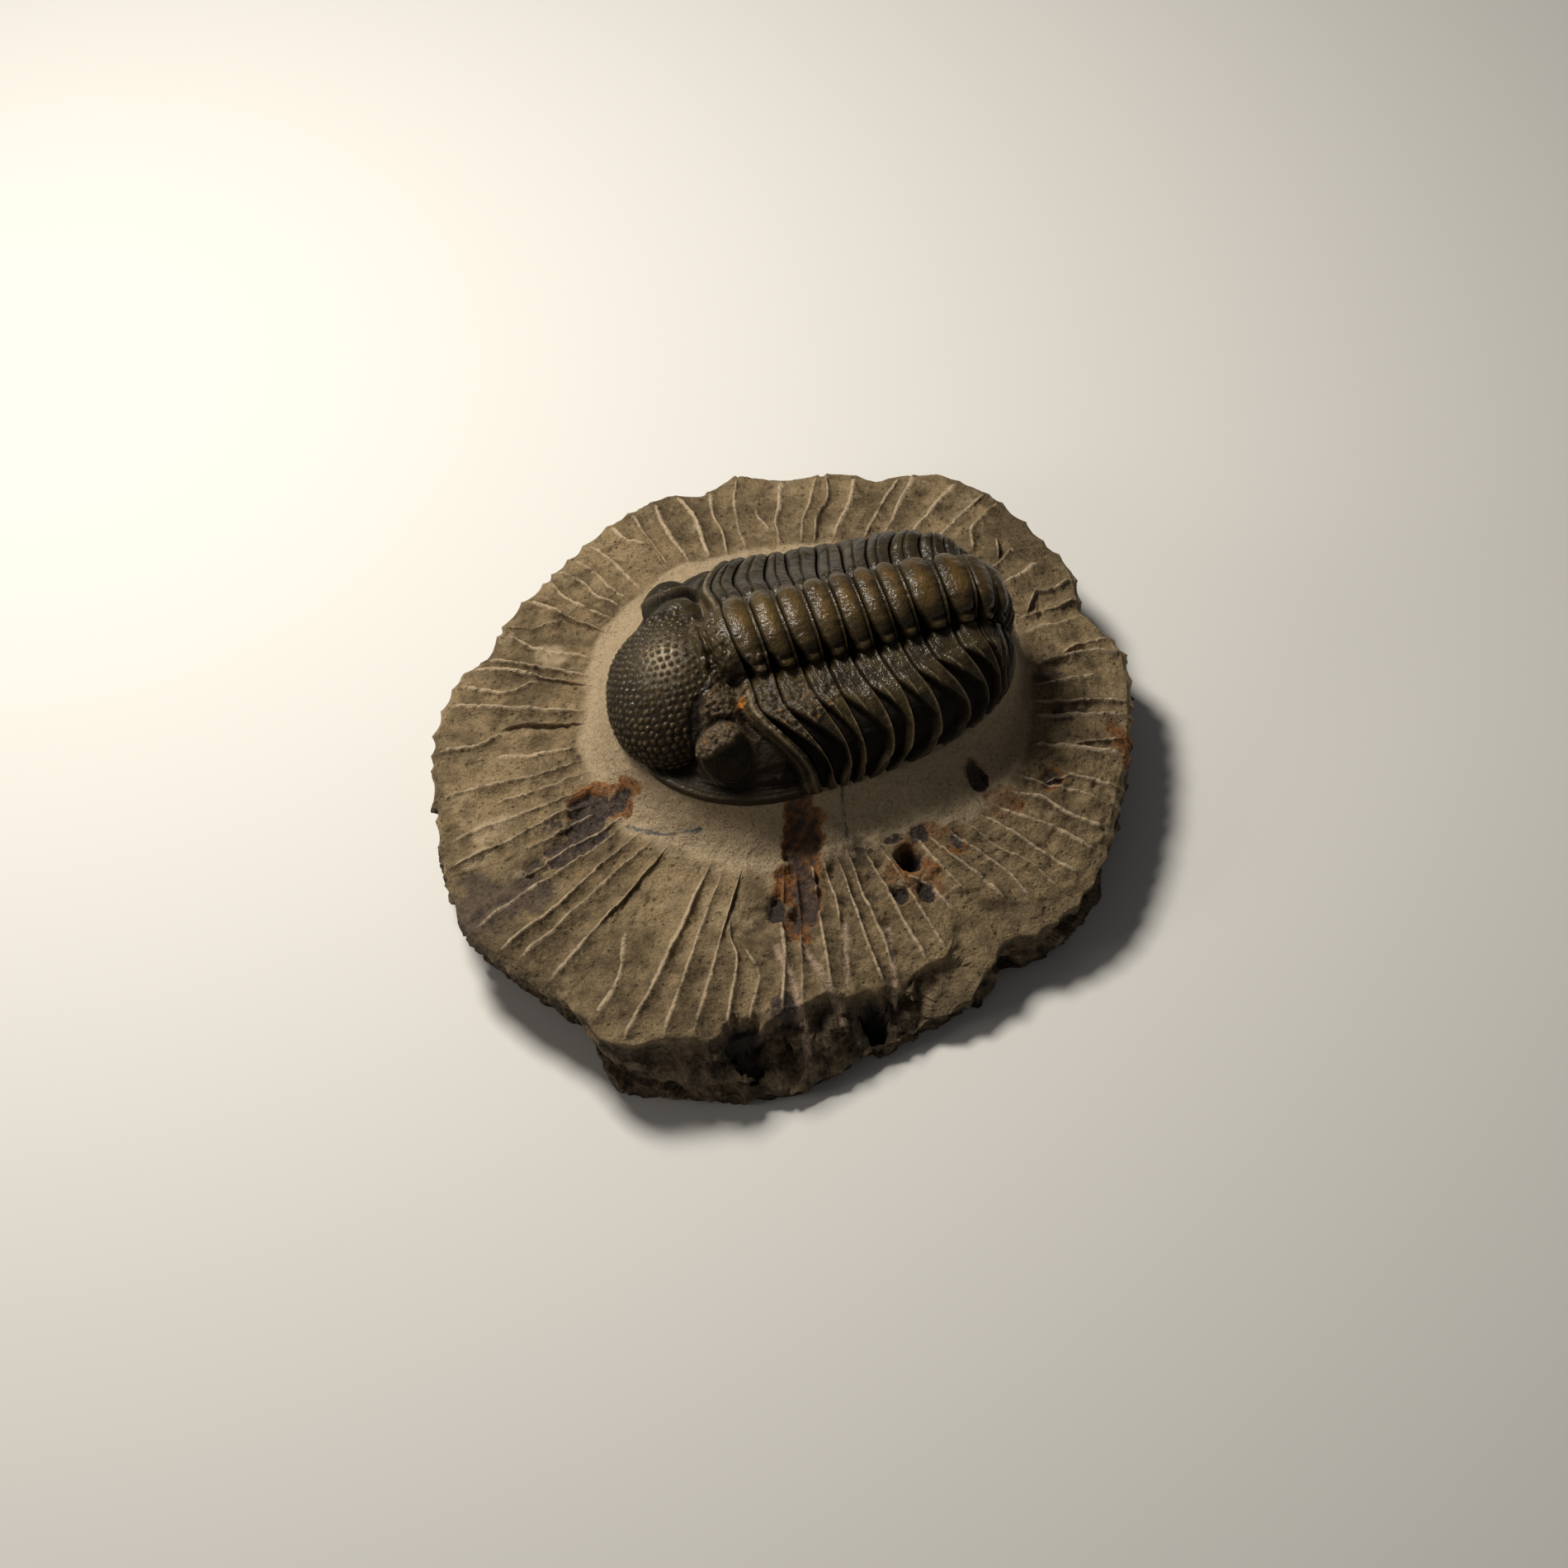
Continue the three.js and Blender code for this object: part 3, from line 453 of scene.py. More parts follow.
# %% A maker of node materials
class Paint:
    """A new material with its principled shader, and short ways to add nodes to it. Each way
    takes sockets or plain values, and hands back the new node's output socket."""

    def __init__(self, name):
        """Starts with the object's own coordinates, which every pattern reads."""
        self.material = bpy.data.materials.new(name)
        self.material.use_nodes = True
        self.tree = self.material.node_tree
        self.place = self.node("ShaderNodeTexCoord", "Object", {})
        print("material:", name)

    def feed(self, socket, value):
        """Links a socket to a node's input, or sets a number, a vector or a colour there."""
        if isinstance(value, bpy.types.NodeSocket):
            self.tree.links.new(value, socket)
        elif socket.type == "RGBA":
            socket.default_value = (*value, 1)
        else:
            socket.default_value = value

    def node(self, kind, output, inputs, **settings):
        """A node of the given kind with its settings and inputs."""
        node = self.tree.nodes.new(kind)
        for name, value in settings.items():
            setattr(node, name, value)
        for name, value in inputs.items():
            self.feed(node.inputs[name], value)
        return node.outputs[output]

    def noise(self, size_mm, detail=4, roughness=0.55, stretch=None):
        """Cloudy noise from 0 to 1 whose lumps have the given size in millimetres."""
        place = self.place
        if stretch:
            place = self.node("ShaderNodeMapping", "Vector", {"Vector": place, "Scale": stretch})
        return self.node("ShaderNodeTexNoise", "Fac", {
            "Vector": place, "Scale": 1 / (size_mm * MM), "Detail": detail, "Roughness": roughness})

    def spots(self, size_mm, wanted="Distance"):
        """A cell pattern: the distance to the nearest of many scattered points, or its colour."""
        return self.node("ShaderNodeTexVoronoi", wanted, {
            "Vector": self.place, "Scale": 1 / (size_mm * MM)})

    def mark(self, name):
        """A number stored on the piece's points."""
        return self.node("ShaderNodeAttribute", "Fac", {}, attribute_name=name)

    def between(self, value, low, high, to_low=0.0, to_high=1.0):
        """Stretches the part of a value from low to high, and clips the rest."""
        return self.node("ShaderNodeMapRange", "Result", {
            "Value": value, "From Min": low, "From Max": high, "To Min": to_low, "To Max": to_high})

    def calc(self, operation, *terms):
        """One sum, such as ADD, MULTIPLY, or MULTIPLY_ADD, which is a b + c."""
        return self.node("ShaderNodeMath", "Value", dict(enumerate(terms)), operation=operation)

    def blend(self, amount, first, second):
        """The first colour at amount 0, the second at 1."""
        return self.node("ShaderNodeMix", 2, {"Factor": amount, 6: first, 7: second}, data_type="RGBA")

    def coats(self, base, *layers):
        """Lays layers over a base colour; each is an amount and a colour."""
        for amount, colour in layers:
            base = self.blend(amount, base, colour)
        return base

    def bumps(self, *layers):
        """A normal bumped layer by layer; each is a height, its depth in millimetres and its
        strength."""
        normal = {}
        for height, depth_mm, strength in layers:
            inputs = {"Height": height, "Distance": depth_mm * MM, "Strength": strength}
            normal = {"Normal": self.node("ShaderNodeBump", "Normal", inputs | normal)}
        return normal["Normal"]

    def finish(self, inputs):
        """Feeds the principled shader and hands over the material."""
        shader = self.tree.nodes["Principled BSDF"]
        for name, value in inputs.items():
            self.feed(shader.inputs[name], value)
        return self.material


print("ways to build a material:", *(name for name in vars(Paint) if name[0] != "_"))

# %% [markdown]
# ### Waxed shell
# The shell is dark olive-brown calcite with a waxed gloss. Its ring tops are worn to ochre, and its
# ridge edges are pale; a painted highlight lies on the tubercle tops and as a pale net on the
# glabella's top. Painted shade makes the far side darker and greyer and fills the gaps and hollows,
# and a rough crust covers the near front.
# A low roughness alone would shine too, but wax leaves two highlights, a sharp one over a soft
# one, so the gloss is a clear coat. Over a fine bumpy surface it breaks into small glints.

# %% Shell
OLIVE = (0.048, 0.032, 0.010)
OLIVE_DARK = (0.016, 0.010, 0.004)
# Painted shade for gaps, facets, furrows, the ground between tubercles, lens rows and the near cheek
SHADE = (0.009, 0.006, 0.003)
OCHRE = (0.118, 0.066, 0.016)
# Painted shade that darkens and greys the shell's far side
FAR_SIDE_SHADE = (0.017, 0.015, 0.010)
CRUST = (0.120, 0.078, 0.038)
CRUST_DARK = (0.020, 0.013, 0.007)
PALE_EDGE = (0.260, 0.195, 0.112)
ORANGE_SPECK = (0.420, 0.170, 0.020)


def shell_colour(paint, clouds, mottle, warts):
    """Olive clouds under painted shade on the far side, ochre wear with a painted highlight on the
    tubercles, crust, pale edges with a painted highlight net, one orange speck, and painted shade.
    """
    crusty = paint.blend(paint.between(warts, 0.40, 0.60), CRUST_DARK, CRUST)
    flecks = paint.between(paint.noise(1.3, detail=3), 0.60, 0.68, 0, 0.35)
    # painted shade on the far side
    slate = paint.calc("MULTIPLY", paint.mark("slate"), paint.between(mottle, 0.3, 0.6))
    # ochre wear on ring tops and knobs, and a painted highlight on the tubercle tops
    worn = paint.calc("MULTIPLY", paint.mark("worn"), paint.between(clouds, 0.25, 0.6, 0.35, 1))
    # pale edges, and a painted highlight as a net on the glabella's top
    pale = paint.calc("MULTIPLY", paint.mark("pale"), paint.between(mottle, 0.2, 0.55))
    return paint.coats(
        paint.blend(paint.between(clouds, 0.35, 0.65), OLIVE_DARK, OLIVE),
        (slate, FAR_SIDE_SHADE),
        (worn, OCHRE),
        (paint.mark("crust"), paint.blend(flecks, crusty, ORANGE_SPECK)),
        (pale, PALE_EDGE),
        (paint.mark("speck"), ORANGE_SPECK),
        # painted shade in gaps and hollows, from the deep mark
        (paint.mark("deep"), SHADE),
    )


def shell_normal(paint, warts):
    """Pimples, fine grain and short streaks on the whole shell, and warts on the crust."""
    pimples = paint.calc("MULTIPLY", paint.noise(0.8, detail=2), 1.6)
    bumpy = paint.calc("ADD", paint.noise(0.35, detail=3), pimples)
    streaks = paint.noise(0.24, detail=2, stretch=(1.0, 0.35, 0.45))
    bumpy = paint.calc("MULTIPLY_ADD", streaks, 0.45, bumpy)
    gritty = paint.calc("MULTIPLY", warts, paint.mark("crust"))
    return paint.bumps((bumpy, 0.12, 0.85), (gritty, 0.40, 1.0))


def waxed_shell():
    """The material of all plates: dull in the deep gaps and on the crust, waxed elsewhere."""
    paint = Paint("waxed_shell")
    clouds = paint.noise(3.2)
    mottle = paint.noise(0.9, detail=5)
    warts = paint.noise(0.55, detail=4, roughness=0.6)
    deep = paint.mark("deep")
    dull = paint.calc("MULTIPLY_ADD", paint.mark("crust"), 0.15, paint.between(mottle, 0.3, 0.7, 0.46, 0.62))
    normal = shell_normal(paint, warts)
    return paint.finish({
        "Base Color": shell_colour(paint, clouds, mottle, warts),
        "Roughness": paint.calc("MULTIPLY_ADD", deep, 0.30, dull),
        "Coat Weight": paint.between(deep, 0, 0.8, 0.40, 0.03),
        "Coat Roughness": 0.08,
        "IOR": 1.42,
        "Specular IOR Level": 0.22,
        "Normal": normal,
        "Coat Normal": normal,
    })


shell = waxed_shell()

# %% [markdown]
# ### Tooled limestone
# The rock is a fine-grained tan limestone. Its tooled field is mottled grey-brown with pale chisel
# ridges, the sandblasted pedestal is lighter and grainy like sandpaper, broken faces are darker with
# painted shade between lighter chips, and iron has stained some pits orange and black. Open holes
# are painted dark as their shadow, and a few dark ovals are painted shade. Each zone could have a
# material of its own, but then they would meet in hard lines, so one material holds them all and
# marks fade between them.

# %% Colours of limestone
PORE = (0.045, 0.030, 0.016)
FIELD_DARK = (0.085, 0.057, 0.027)
FIELD = (0.290, 0.208, 0.110)
CREAM = (0.500, 0.385, 0.235)
RIDGE_CREAM = (0.600, 0.460, 0.305)
SAND = (0.440, 0.335, 0.210)
SAND_DARK = (0.215, 0.155, 0.090)
FRESH_BREAK = (0.175, 0.125, 0.070)
# Painted shade on broken faces, between lighter chips of fresh stone
BREAK_SHADE = (0.032, 0.021, 0.011)
PURPLE = (0.125, 0.090, 0.062)
PURPLE_DARK = (0.050, 0.034, 0.024)
RUST_ORANGE = (0.310, 0.112, 0.020)
RUST_BROWN = (0.085, 0.040, 0.018)
RUST_BLACK = (0.026, 0.017, 0.012)
RUST_PURPLE = (0.095, 0.062, 0.046)
SEAM = (0.420, 0.310, 0.220)
SEAM_RED = (0.160, 0.050, 0.030)
VEIN = (0.095, 0.100, 0.105)
# Painted shadow inside open holes
HOLE_SHADE = (0.006, 0.004, 0.003)
print("from pore to ridge:", PORE, FIELD, RIDGE_CREAM)


# %% Limestone
def pore_pattern(paint, grains):
    """Round pores of many widths, where the value is low: cells stretched by clouds, and frayed
    by grains."""
    widths = paint.between(paint.noise(2.2, detail=3), 0.3, 0.7, 0.6, 2.2)
    cells = paint.calc("MULTIPLY", paint.spots(1.1), widths)
    return paint.calc("ADD", cells, paint.between(grains, 0.3, 0.7, -0.12, 0.12))


def field_colour(paint, patches, grains, pores):
    """The chiselled field: mottled grey-brown with grains, pores, mealy dots and chalky clouds."""
    mixed = paint.calc("MULTIPLY", paint.calc("ADD", paint.noise(16, detail=3), patches), 0.5)
    mealy = paint.noise(0.38, detail=3, roughness=0.7)
    chalky = paint.noise(5.5, detail=6, roughness=0.7)
    return paint.coats(
        paint.blend(paint.between(mixed, 0.42, 0.58), FIELD_DARK, FIELD),
        (paint.between(grains, 0.40, 0.70, 0, 0.40), FIELD),
        (paint.between(pores, 0.10, 0.20, 0.75, 0), PORE),
        (paint.between(mealy, 0.40, 0.50, 0.55, 0), FIELD_DARK),
        (paint.between(chalky, 0.56, 0.72, 0, 0.6), CREAM),
    )


def sand_colour(paint, patches, specks):
    """The sandblasted wall: dark specks between pale grains."""
    grainy = paint.blend(paint.between(specks, 0.10, 0.42), SAND_DARK, SAND)
    return paint.blend(paint.between(patches, 0.35, 0.65, 0, 0.45), grainy, SAND)


def rust_layers(paint, patches, grains):
    """Iron stains: a ragged orange wash, and a purplish black coat over it, which in a few places
    is painted shade where no stain lies.
    """
    ragged = paint.calc("ADD", paint.mark("orange"), paint.between(patches, 0.3, 0.7, -0.35, 0.35))
    orange = paint.blend(paint.between(grains, 0.40, 0.62), RUST_BROWN, RUST_ORANGE)
    flakes = paint.noise(1.1, detail=6, roughness=0.7)
    black_stain_and_shade = paint.calc("ADD", paint.mark("dark"), paint.between(flakes, 0.3, 0.7, -0.45, 0.35))
    soot = paint.blend(paint.between(grains, 0.42, 0.62, 0, 0.9), RUST_BLACK, RUST_PURPLE)
    return ((paint.between(ragged, 0.25, 0.65, 0, 0.92), orange),
            (paint.between(black_stain_and_shade, 0.35, 0.55), soot))


def stone_colour(paint, patches, grains, pores, specks):
    """The field under cream, sand, broken and purple stone, rust, ridges, seams and holes. The
    broken stone and the holes are painted dark as shade, and the rust is too in a few places.
    """
    hewn = paint.calc("ADD", patches, paint.calc("MULTIPLY", grains, 0.6))
    hewn = paint.between(hewn, 0.65, 0.95)
    dusty = paint.calc("MULTIPLY", paint.mark("ridge"), paint.between(grains, 0.30, 0.60, 0.5, 1.0))
    return paint.coats(
        field_colour(paint, patches, grains, pores),
        (paint.mark("cream"), CREAM),
        (paint.mark("sand"), sand_colour(paint, patches, specks)),
        # broken faces: painted shade between lighter chips
        (paint.mark("broken"), paint.blend(hewn, BREAK_SHADE, FRESH_BREAK)),
        (paint.mark("purple"), paint.blend(hewn, PURPLE_DARK, PURPLE)),
        *rust_layers(paint, patches, grains),
        (paint.between(dusty, 0.18, 0.62, 0, 0.8), RIDGE_CREAM),
        (paint.mark("seam"), paint.blend(paint.between(grains, 0.55, 0.62, 0, 0.8), SEAM, SEAM_RED)),
        (paint.mark("vein"), VEIN),
        # painted shadow inside open holes
        (paint.mark("hole_shade"), HOLE_SHADE),
    )


def tooled_limestone():
    """The rock's one material: matt stone with grit, hackly faces, pores and sand in relief. The
    dark stains are a little glossy."""
    paint = Paint("tooled_limestone")
    patches = paint.noise(3.0, detail=5, roughness=0.6)
    grains = paint.noise(0.55, detail=4, roughness=0.65)
    pores = pore_pattern(paint, grains)
    specks = paint.spots(0.17, wanted="Color")
    return paint.finish({
        "Base Color": stone_colour(paint, patches, grains, pores, specks),
        "Roughness": paint.between(paint.mark("dark"), 0, 1, 0.82, 0.50),
        "Specular IOR Level": 0.35,
        "Normal": paint.bumps(
            (paint.noise(0.30, detail=5, roughness=0.7), 0.20, 0.9),
            (paint.noise(1.3, detail=6, roughness=0.65), 0.70, 0.9),
            (paint.between(pores, 0.10, 0.30), 0.22, 0.9),
            (paint.calc("MULTIPLY", specks, paint.mark("sand")), 0.05, 0.8)),
    })


stone = tooled_limestone()

# %% Paper for the floor
paper = Paint("pale_paper").finish({"Base Color": (0.74, 0.73, 0.71), "Roughness": 0.9})
floor_mesh.materials.append(paper)

# %% [markdown]
# ## Thorax plates
# Each of the eleven segments is one plate: a broad ring on the axis with a narrow rim behind it
# and a small knob low on its side, a deep gap ahead of the knob, and on each flank a flat band
# split by a slanting furrow. On the near flank the front half of the band ends in a spike; past it
# the plate is scooped out, so that the next one could slide under, and its rear edge stands up as
# a sharp curved ridge. On the far flank the plates are pressed together, and only rounded ribs
# show. The relief is a height over the body, a function of u from front to rear edge and of the
# side. A sculpt would also do, but a formula gives all eleven the same build.

# %% Relief of a ring, in millimetres
# Where a name has two values, the first holds at the crest and the second at the furrow
BAND_RISE = (0.42, 0.66)
RIM_RISE = (0.14, 0.34)
RIM_AT = 0.925
GROOVE_DEPTH = (0.02, 0.32)
GROOVE_AT = 0.85
KNOB_RISE = 0.55
KNOB_AT = 0.62
KNOB_OUT = 0.281
NICK_DEPTH = 0.36
NICK_OUT = 0.240
GAP_DEPTH = (0.12, 1.57)
GAP_WIDTH = (0.06, 0.33)


def ring_relief(u, out):
    """The axial ring: a broad convex band, a fine groove and a rim behind it, a square knob low
    on its side with a nick above it, and a gap ahead that opens from the crest to the furrow."""
    low = ramp(out, 0.09, 0.28)
    band = grade(ramp(out, 0.04, 0.2), *BAND_RISE)
    band = band * np.sin(math.pi * np.clip((u - 0.02) / 0.84, 0, 1)) ** 0.7
    rim = grade(ramp(out, 0.06, 0.16), *RIM_RISE) * bump(u, RIM_AT, 0.06)
    groove = -grade(ramp(out, 0.03, 0.24), *GROOVE_DEPTH) * bump(u, GROOVE_AT, 0.035)
    knob = KNOB_RISE * np.exp(-(((out - KNOB_OUT) / 0.027) ** 4 + ((u - KNOB_AT) / 0.25) ** 4))
    nick = -NICK_DEPTH * bump(out, NICK_OUT, 0.010) * ramp(u, 0.3, 0.5) * fade(u, 0.82, 0.9)
    gap = -grade(low, *GAP_DEPTH) * fade(u, 0, grade(low, *GAP_WIDTH))
    return band + rim + groove + knob + nick + gap


print(f"middle of a ring on the crest: {ring_relief(0.43, 0.0):.2f} mm")

# %% Relief of a flank, in millimetres
FURROW_DEPTH = 0.30
BAND_FRONT_RISE = 0.10
BAND_REAR_RISE = 0.14
CORNER_RISE = 0.18
SPIKE_RISE = 0.26
RIDGE_RISE = (0.05, 0.38)
FLANK_GAP_DEPTH = 0.50
SCOOP_DEPTH = 1.35
RIB_RISE = 0.50
RIB_FURROW_DEPTH = 0.12
RIB_FURROW_AT = 0.46
RIB_SINK = 0.25
FAR_BLEND = 0.1


def flank_share(side):
    """0 on the ring and at the axial furrow, 1 at the tip of the flank."""
    return np.clip((np.abs(side) - RING_SHARE) / (1 - RING_SHARE), 0, 1)


def far_share(side):
    """1 on the far flank, 0 on the ring and the near flank."""
    return ramp(side, RING_SHARE, RING_SHARE + FAR_BLEND)


def spike_line(flank):
    """The u at which the spike runs; it slants back along the flank."""
    return 0.16 + 0.62 * flank


def facet_share(u, flank):
    """1 on the scooped facet: it starts further out the further back, and its rear limit
    narrows the plate to a ridge along the rear edge."""
    start = 0.27 + 0.42 * u
    end = 0.50 + 0.40 * ramp(flank, 0.40, 0.72) - 0.5 * ramp(flank, 0.82, 1)
    return ramp(flank, start, start + 0.09) * fade(u, end - 0.16, end + 0.03)


def band_relief(u, flank, far):
    """A corner by the ring, and a furrow between two low blocks, which slants back. On the far
    side it runs straighter and further out."""
    furrow_at = 0.22 + 0.80 * flank + far * (0.25 - 0.75 * flank)
    inner = fade(flank, 0.36 + 0.3 * far, 0.54 + 0.4 * far)
    furrow = -FURROW_DEPTH * bump(u, furrow_at, 0.030) * ramp(flank, 0, 0.04)
    rear = BAND_REAR_RISE * ramp(u, furrow_at, furrow_at + 0.06)
    front = BAND_FRONT_RISE * ramp(u, 0.06, 0.14) * fade(u, furrow_at - 0.06, furrow_at)
    corner = CORNER_RISE * fade(flank, 0.02, 0.10) * ramp(u, 0.25, 0.4)
    return (furrow + rear + front) * inner + corner


def spiked_relief(u, flank):
    """What only the near flank shows: the spike, the facet, a gap ahead of the plate, and the
    rear ridge, which rises outwards and curves forward at the tip."""
    spike = SPIKE_RISE * bump(u, spike_line(flank), 0.045)
    spike = spike * ramp(flank, 0.22, 0.40) * fade(flank, 0.46, 0.51)
    ridge_at = 0.93 - 0.5 * ramp(flank, 0.82, 1)
    ridge = grade(ramp(flank, 0.4, 0.65), *RIDGE_RISE) * bump(u, ridge_at, 0.05)
    gap = -FLANK_GAP_DEPTH * fade(u, 0, 0.09)
    return spike + ridge + gap - SCOOP_DEPTH * facet_share(u, flank)


def rib_relief(u):
    """What only the far flank shows: a rounded rib, sin(pi u)^0.6, with a furrow down it."""
    rib = RIB_RISE * np.sin(math.pi * np.clip(u, 0, 1)) ** 0.6
    return rib - RIB_FURROW_DEPTH * bump(u, RIB_FURROW_AT, 0.10) - RIB_SINK


def flank_relief(u, side):
    """The whole pleura, which levels off towards its tip."""
    flank = flank_share(side)
    far = far_share(side)
    relief = band_relief(u, flank, far) + grade(far, spiked_relief(u, flank), rib_relief(u))
    return relief * (1 - 0.7 * ramp(flank, 0.93, 1))


print(f"middle of a facet: {flank_relief(0.5, -0.85):.2f} mm")

# %% Relief of a whole plate, in millimetres
LOBE_BLEND = 0.014
AXIAL_FURROW_DEPTH = 0.40
PIT_DEPTH = 1.3
PIT_OUT = 0.305
REAR_ROUND = (0.25, 0.80)


def plate_relief(u, side):
    """Ring and flank joined at the axial furrow, a deep pit at the furrow's front, and the rear
    edge rounded off."""
    out = np.abs(side)
    on_flank = ramp(out, RING_SHARE - LOBE_BLEND, RING_SHARE + LOBE_BLEND)
    relief = grade(on_flank, ring_relief(u, out), flank_relief(u, side))
    furrow = -AXIAL_FURROW_DEPTH * bump(out, RING_SHARE, 0.012)
    pit = -PIT_DEPTH * bump(out, PIT_OUT, 0.05) * fade(u, 0.12, 0.40)
    rear = -grade(ramp(out, 0.08, 0.24), *REAR_ROUND) * ramp(u, 0.955, 1.0) ** 2
    return relief + furrow + pit + rear


sample = plate_relief(*np.meshgrid(np.linspace(0, 1, 40), np.linspace(-1, 1, 200), indexing="ij"))
print(f"relief of a plate: {sample.min():.2f} to {sample.max():.2f} mm")

# %% Colour marks of a thorax plate
CRUST_MIDDLE = (-2.4, -13.0)
CRUST_REACH = (7.0, 6.2)
CRUST_SLANT = 0.35


def crust_share(points):
    """1 where a rough crust covers the shell, on the near front of the thorax, with a ragged
    limit."""
    x = points[..., 0] - CRUST_MIDDLE[0]
    y = points[..., 1] - AXIS_Y - CRUST_MIDDLE[1]
    reach = np.hypot((x + CRUST_SLANT * y) / CRUST_REACH[0], y / CRUST_REACH[1])
    return fade(reach + 0.45 * rough(points, 2.6, 11), 0.70, 1.05)


def plate_marks(u, side, points):
    """From 0 to 1: ochre wear on tops and knobs, pale edges, painted shade on the far side, painted
    shade in the gaps and on the facet, and the crust."""
    out = np.abs(side)
    flank = flank_share(side)
    far = far_share(side)
    near_flank = ramp(out, RING_SHARE - 0.01, RING_SHARE + 0.01) * (1 - far)
    facet = facet_share(u, flank) * near_flank
    top = bump(out, 0.02, 0.13) * bump(u, 0.42, 0.30) * (0.75 + 0.25 * rough(points, 2.5, 15))
    edge = bump(u, 0.945, 0.032) * grade(ramp(flank, 0.3, 0.6), 0.15, 0.85) * near_flank
    spike = bump(u, spike_line(flank), 0.035) * ramp(flank, 0.25, 0.42) * fade(flank, 0.46, 0.5)
    line = bump(out, RING_SHARE + 0.006, 0.004) * ramp(u, 0.3, 0.4)
    gap = fade(u, 0, 0.10) * grade(ramp(out, 0.05, 0.2), 0.3, 1)
    rib_furrow = bump(u, RIB_FURROW_AT, 0.05) * far
    return {
        "worn": np.clip(top + 0.35 * bump(out, KNOB_OUT, 0.02), 0, 1),
        "pale": np.clip(edge + 0.7 * spike * (1 - far) + 0.7 * line, 0, 1),
        # painted shade on the far side
        "slate": ramp(side, 0.20, 0.45) * (0.45 + 0.45 * rough(points, 2.0, 16)),
        # painted shade in the gap, on the facet and in the far ribs' furrows
        "deep": np.clip(gap + 0.92 * facet + 0.5 * rib_furrow, 0, 1),
        "crust": 0.6 * crust_share(points) * (1 - 0.9 * facet),
        "speck": np.zeros_like(u),
    }


sample = plate_marks(np.full(1, 0.42), np.zeros(1), crest[None])
print("marks on a crest:", {name: float(value[0].round(2)) for name, value in sample.items()})

# %% Grids between two joints
JOINT_GAP = 0.14


def joint_share(line, side):
    """The share of the step to the next line that half an open joint takes."""
    step = body_point(line + 0.5, side) - body_point(line - 0.5, side)
    return JOINT_GAP / 2 / np.linalg.norm(step, axis=-1)


def plate_grid(first, last, u_steps, side_steps):
    """u, side, body points and normals between the joints on two lines. The line number runs
    evenly with u from one joint to the other."""
    u, side = np.meshgrid(u_steps, side_steps, indexing="ij")
    front = first + joint_share(np.full_like(side, first), side)
    rear = last - joint_share(np.full_like(side, last), side)
    line = grade(u, front, rear)
    return u, side, body_point(line, side), body_normal(line, side)


def inner_face(first, last, u_steps, side_steps, depth):
    """The coarse lower face of a plate, a depth below the body."""
    u, _, points, normals = plate_grid(first, last, u_steps, side_steps)
    return lift(points, normals, np.full_like(u, -depth))


print(f"half a joint is {joint_share(np.full(1, 5.0), np.zeros(1))[0]:.3f} of a plate long")

# %% Build the eleven plates
U_STEPS = np.concatenate([np.linspace(0, 0.15, 7)[:-1], np.linspace(0.15, 0.82, 21)[:-1],
                          np.linspace(0.82, 1, 11)])
SIDE_STEPS = np.linspace(-1, 1, 481)
LOW_U = np.linspace(0, 1, 4)
LOW_SIDE = np.linspace(-1, 1, 41)
PLATE_DEPTH = 3.0
UNEVEN = 0.12
WRINKLE = 0.05
WART_RISE = (0.10, 0.65)


def thorax_plate(number):
    """One segment between two cross lines, with a little unevenness of its own, fine wrinkles on
    the ring, and warts on the crust."""
    joints = (number - 1, number)
    u, side, points, normals = plate_grid(*joints, U_STEPS, SIDE_STEPS)
    on_ring = fade(np.abs(side), 0.3, 0.4)
    height = plate_relief(u, side) + UNEVEN * rough(points + number * 7.0, 2.6, 21)
    height = height + WRINKLE * rough(points * (0.5, 2.2, 1), 1.3, 25, 2) * on_ring
    marks = plate_marks(u, side, lift(points, normals, height))
    warts = grade(np.abs(rough(points, 1.0, 31, 2)), *WART_RISE)
    upper = lift(points, normals, height + marks["crust"] * warts)
    lower = inner_face(*joints, LOW_U, LOW_SIDE, PLATE_DEPTH)
    add_piece(f"thoracic_segment_{number:02d}", *closed_sheet(upper, lower), shell, "shell", marks)


for number in range(1, SEGMENTS + 1):
    thorax_plate(number)


# %% [markdown]
# ## Tail shield
# The pygidium is the small rounded plate that closes the tail. It is grown from several segments,
# so faint ribs still cross it, and it wraps straight down to the rock. It could be made like the
# head, from swellings, but its ribs follow the cross lines of the body, so it is one more plate,
# with ribs that fade towards the edge.

# %% Build the tail shield
TAIL_RIBS = 5
TAIL_U = np.linspace(0, 1, 85)
TAIL_LOW_U = np.linspace(0, 1, 8)
TAIL_DEPTH = 1.9
TAIL_DIVE = 0.7
TAIL_RIB_RISE = 0.28
TAIL_FURROW_DEPTH = 0.35
TAIL_SWELL = 0.5


def tail_relief(u, side):
    """Ribs and furrows that follow the cross lines, a wave cos(2 pi n u) strongest at the front,
    on a gentle swell."""
    out = np.abs(side)
    flank = flank_share(side)
    dive = -TAIL_DIVE * fade(u, 0, 0.05)
    wave = np.cos(2 * math.pi * (TAIL_RIBS * u + 0.5 * flank))
    ribs = TAIL_RIB_RISE * wave * fade(u, 0.45, 0.85) * (1 - 0.5 * ramp(flank, 0.6, 1.0))
    furrow = -TAIL_FURROW_DEPTH * bump(out, RING_SHARE, 0.02) * fade(u, 0.3, 0.8)
    swell = TAIL_SWELL * np.sin(math.pi * u) * (1 - flank)
    return dive + ribs + furrow + swell


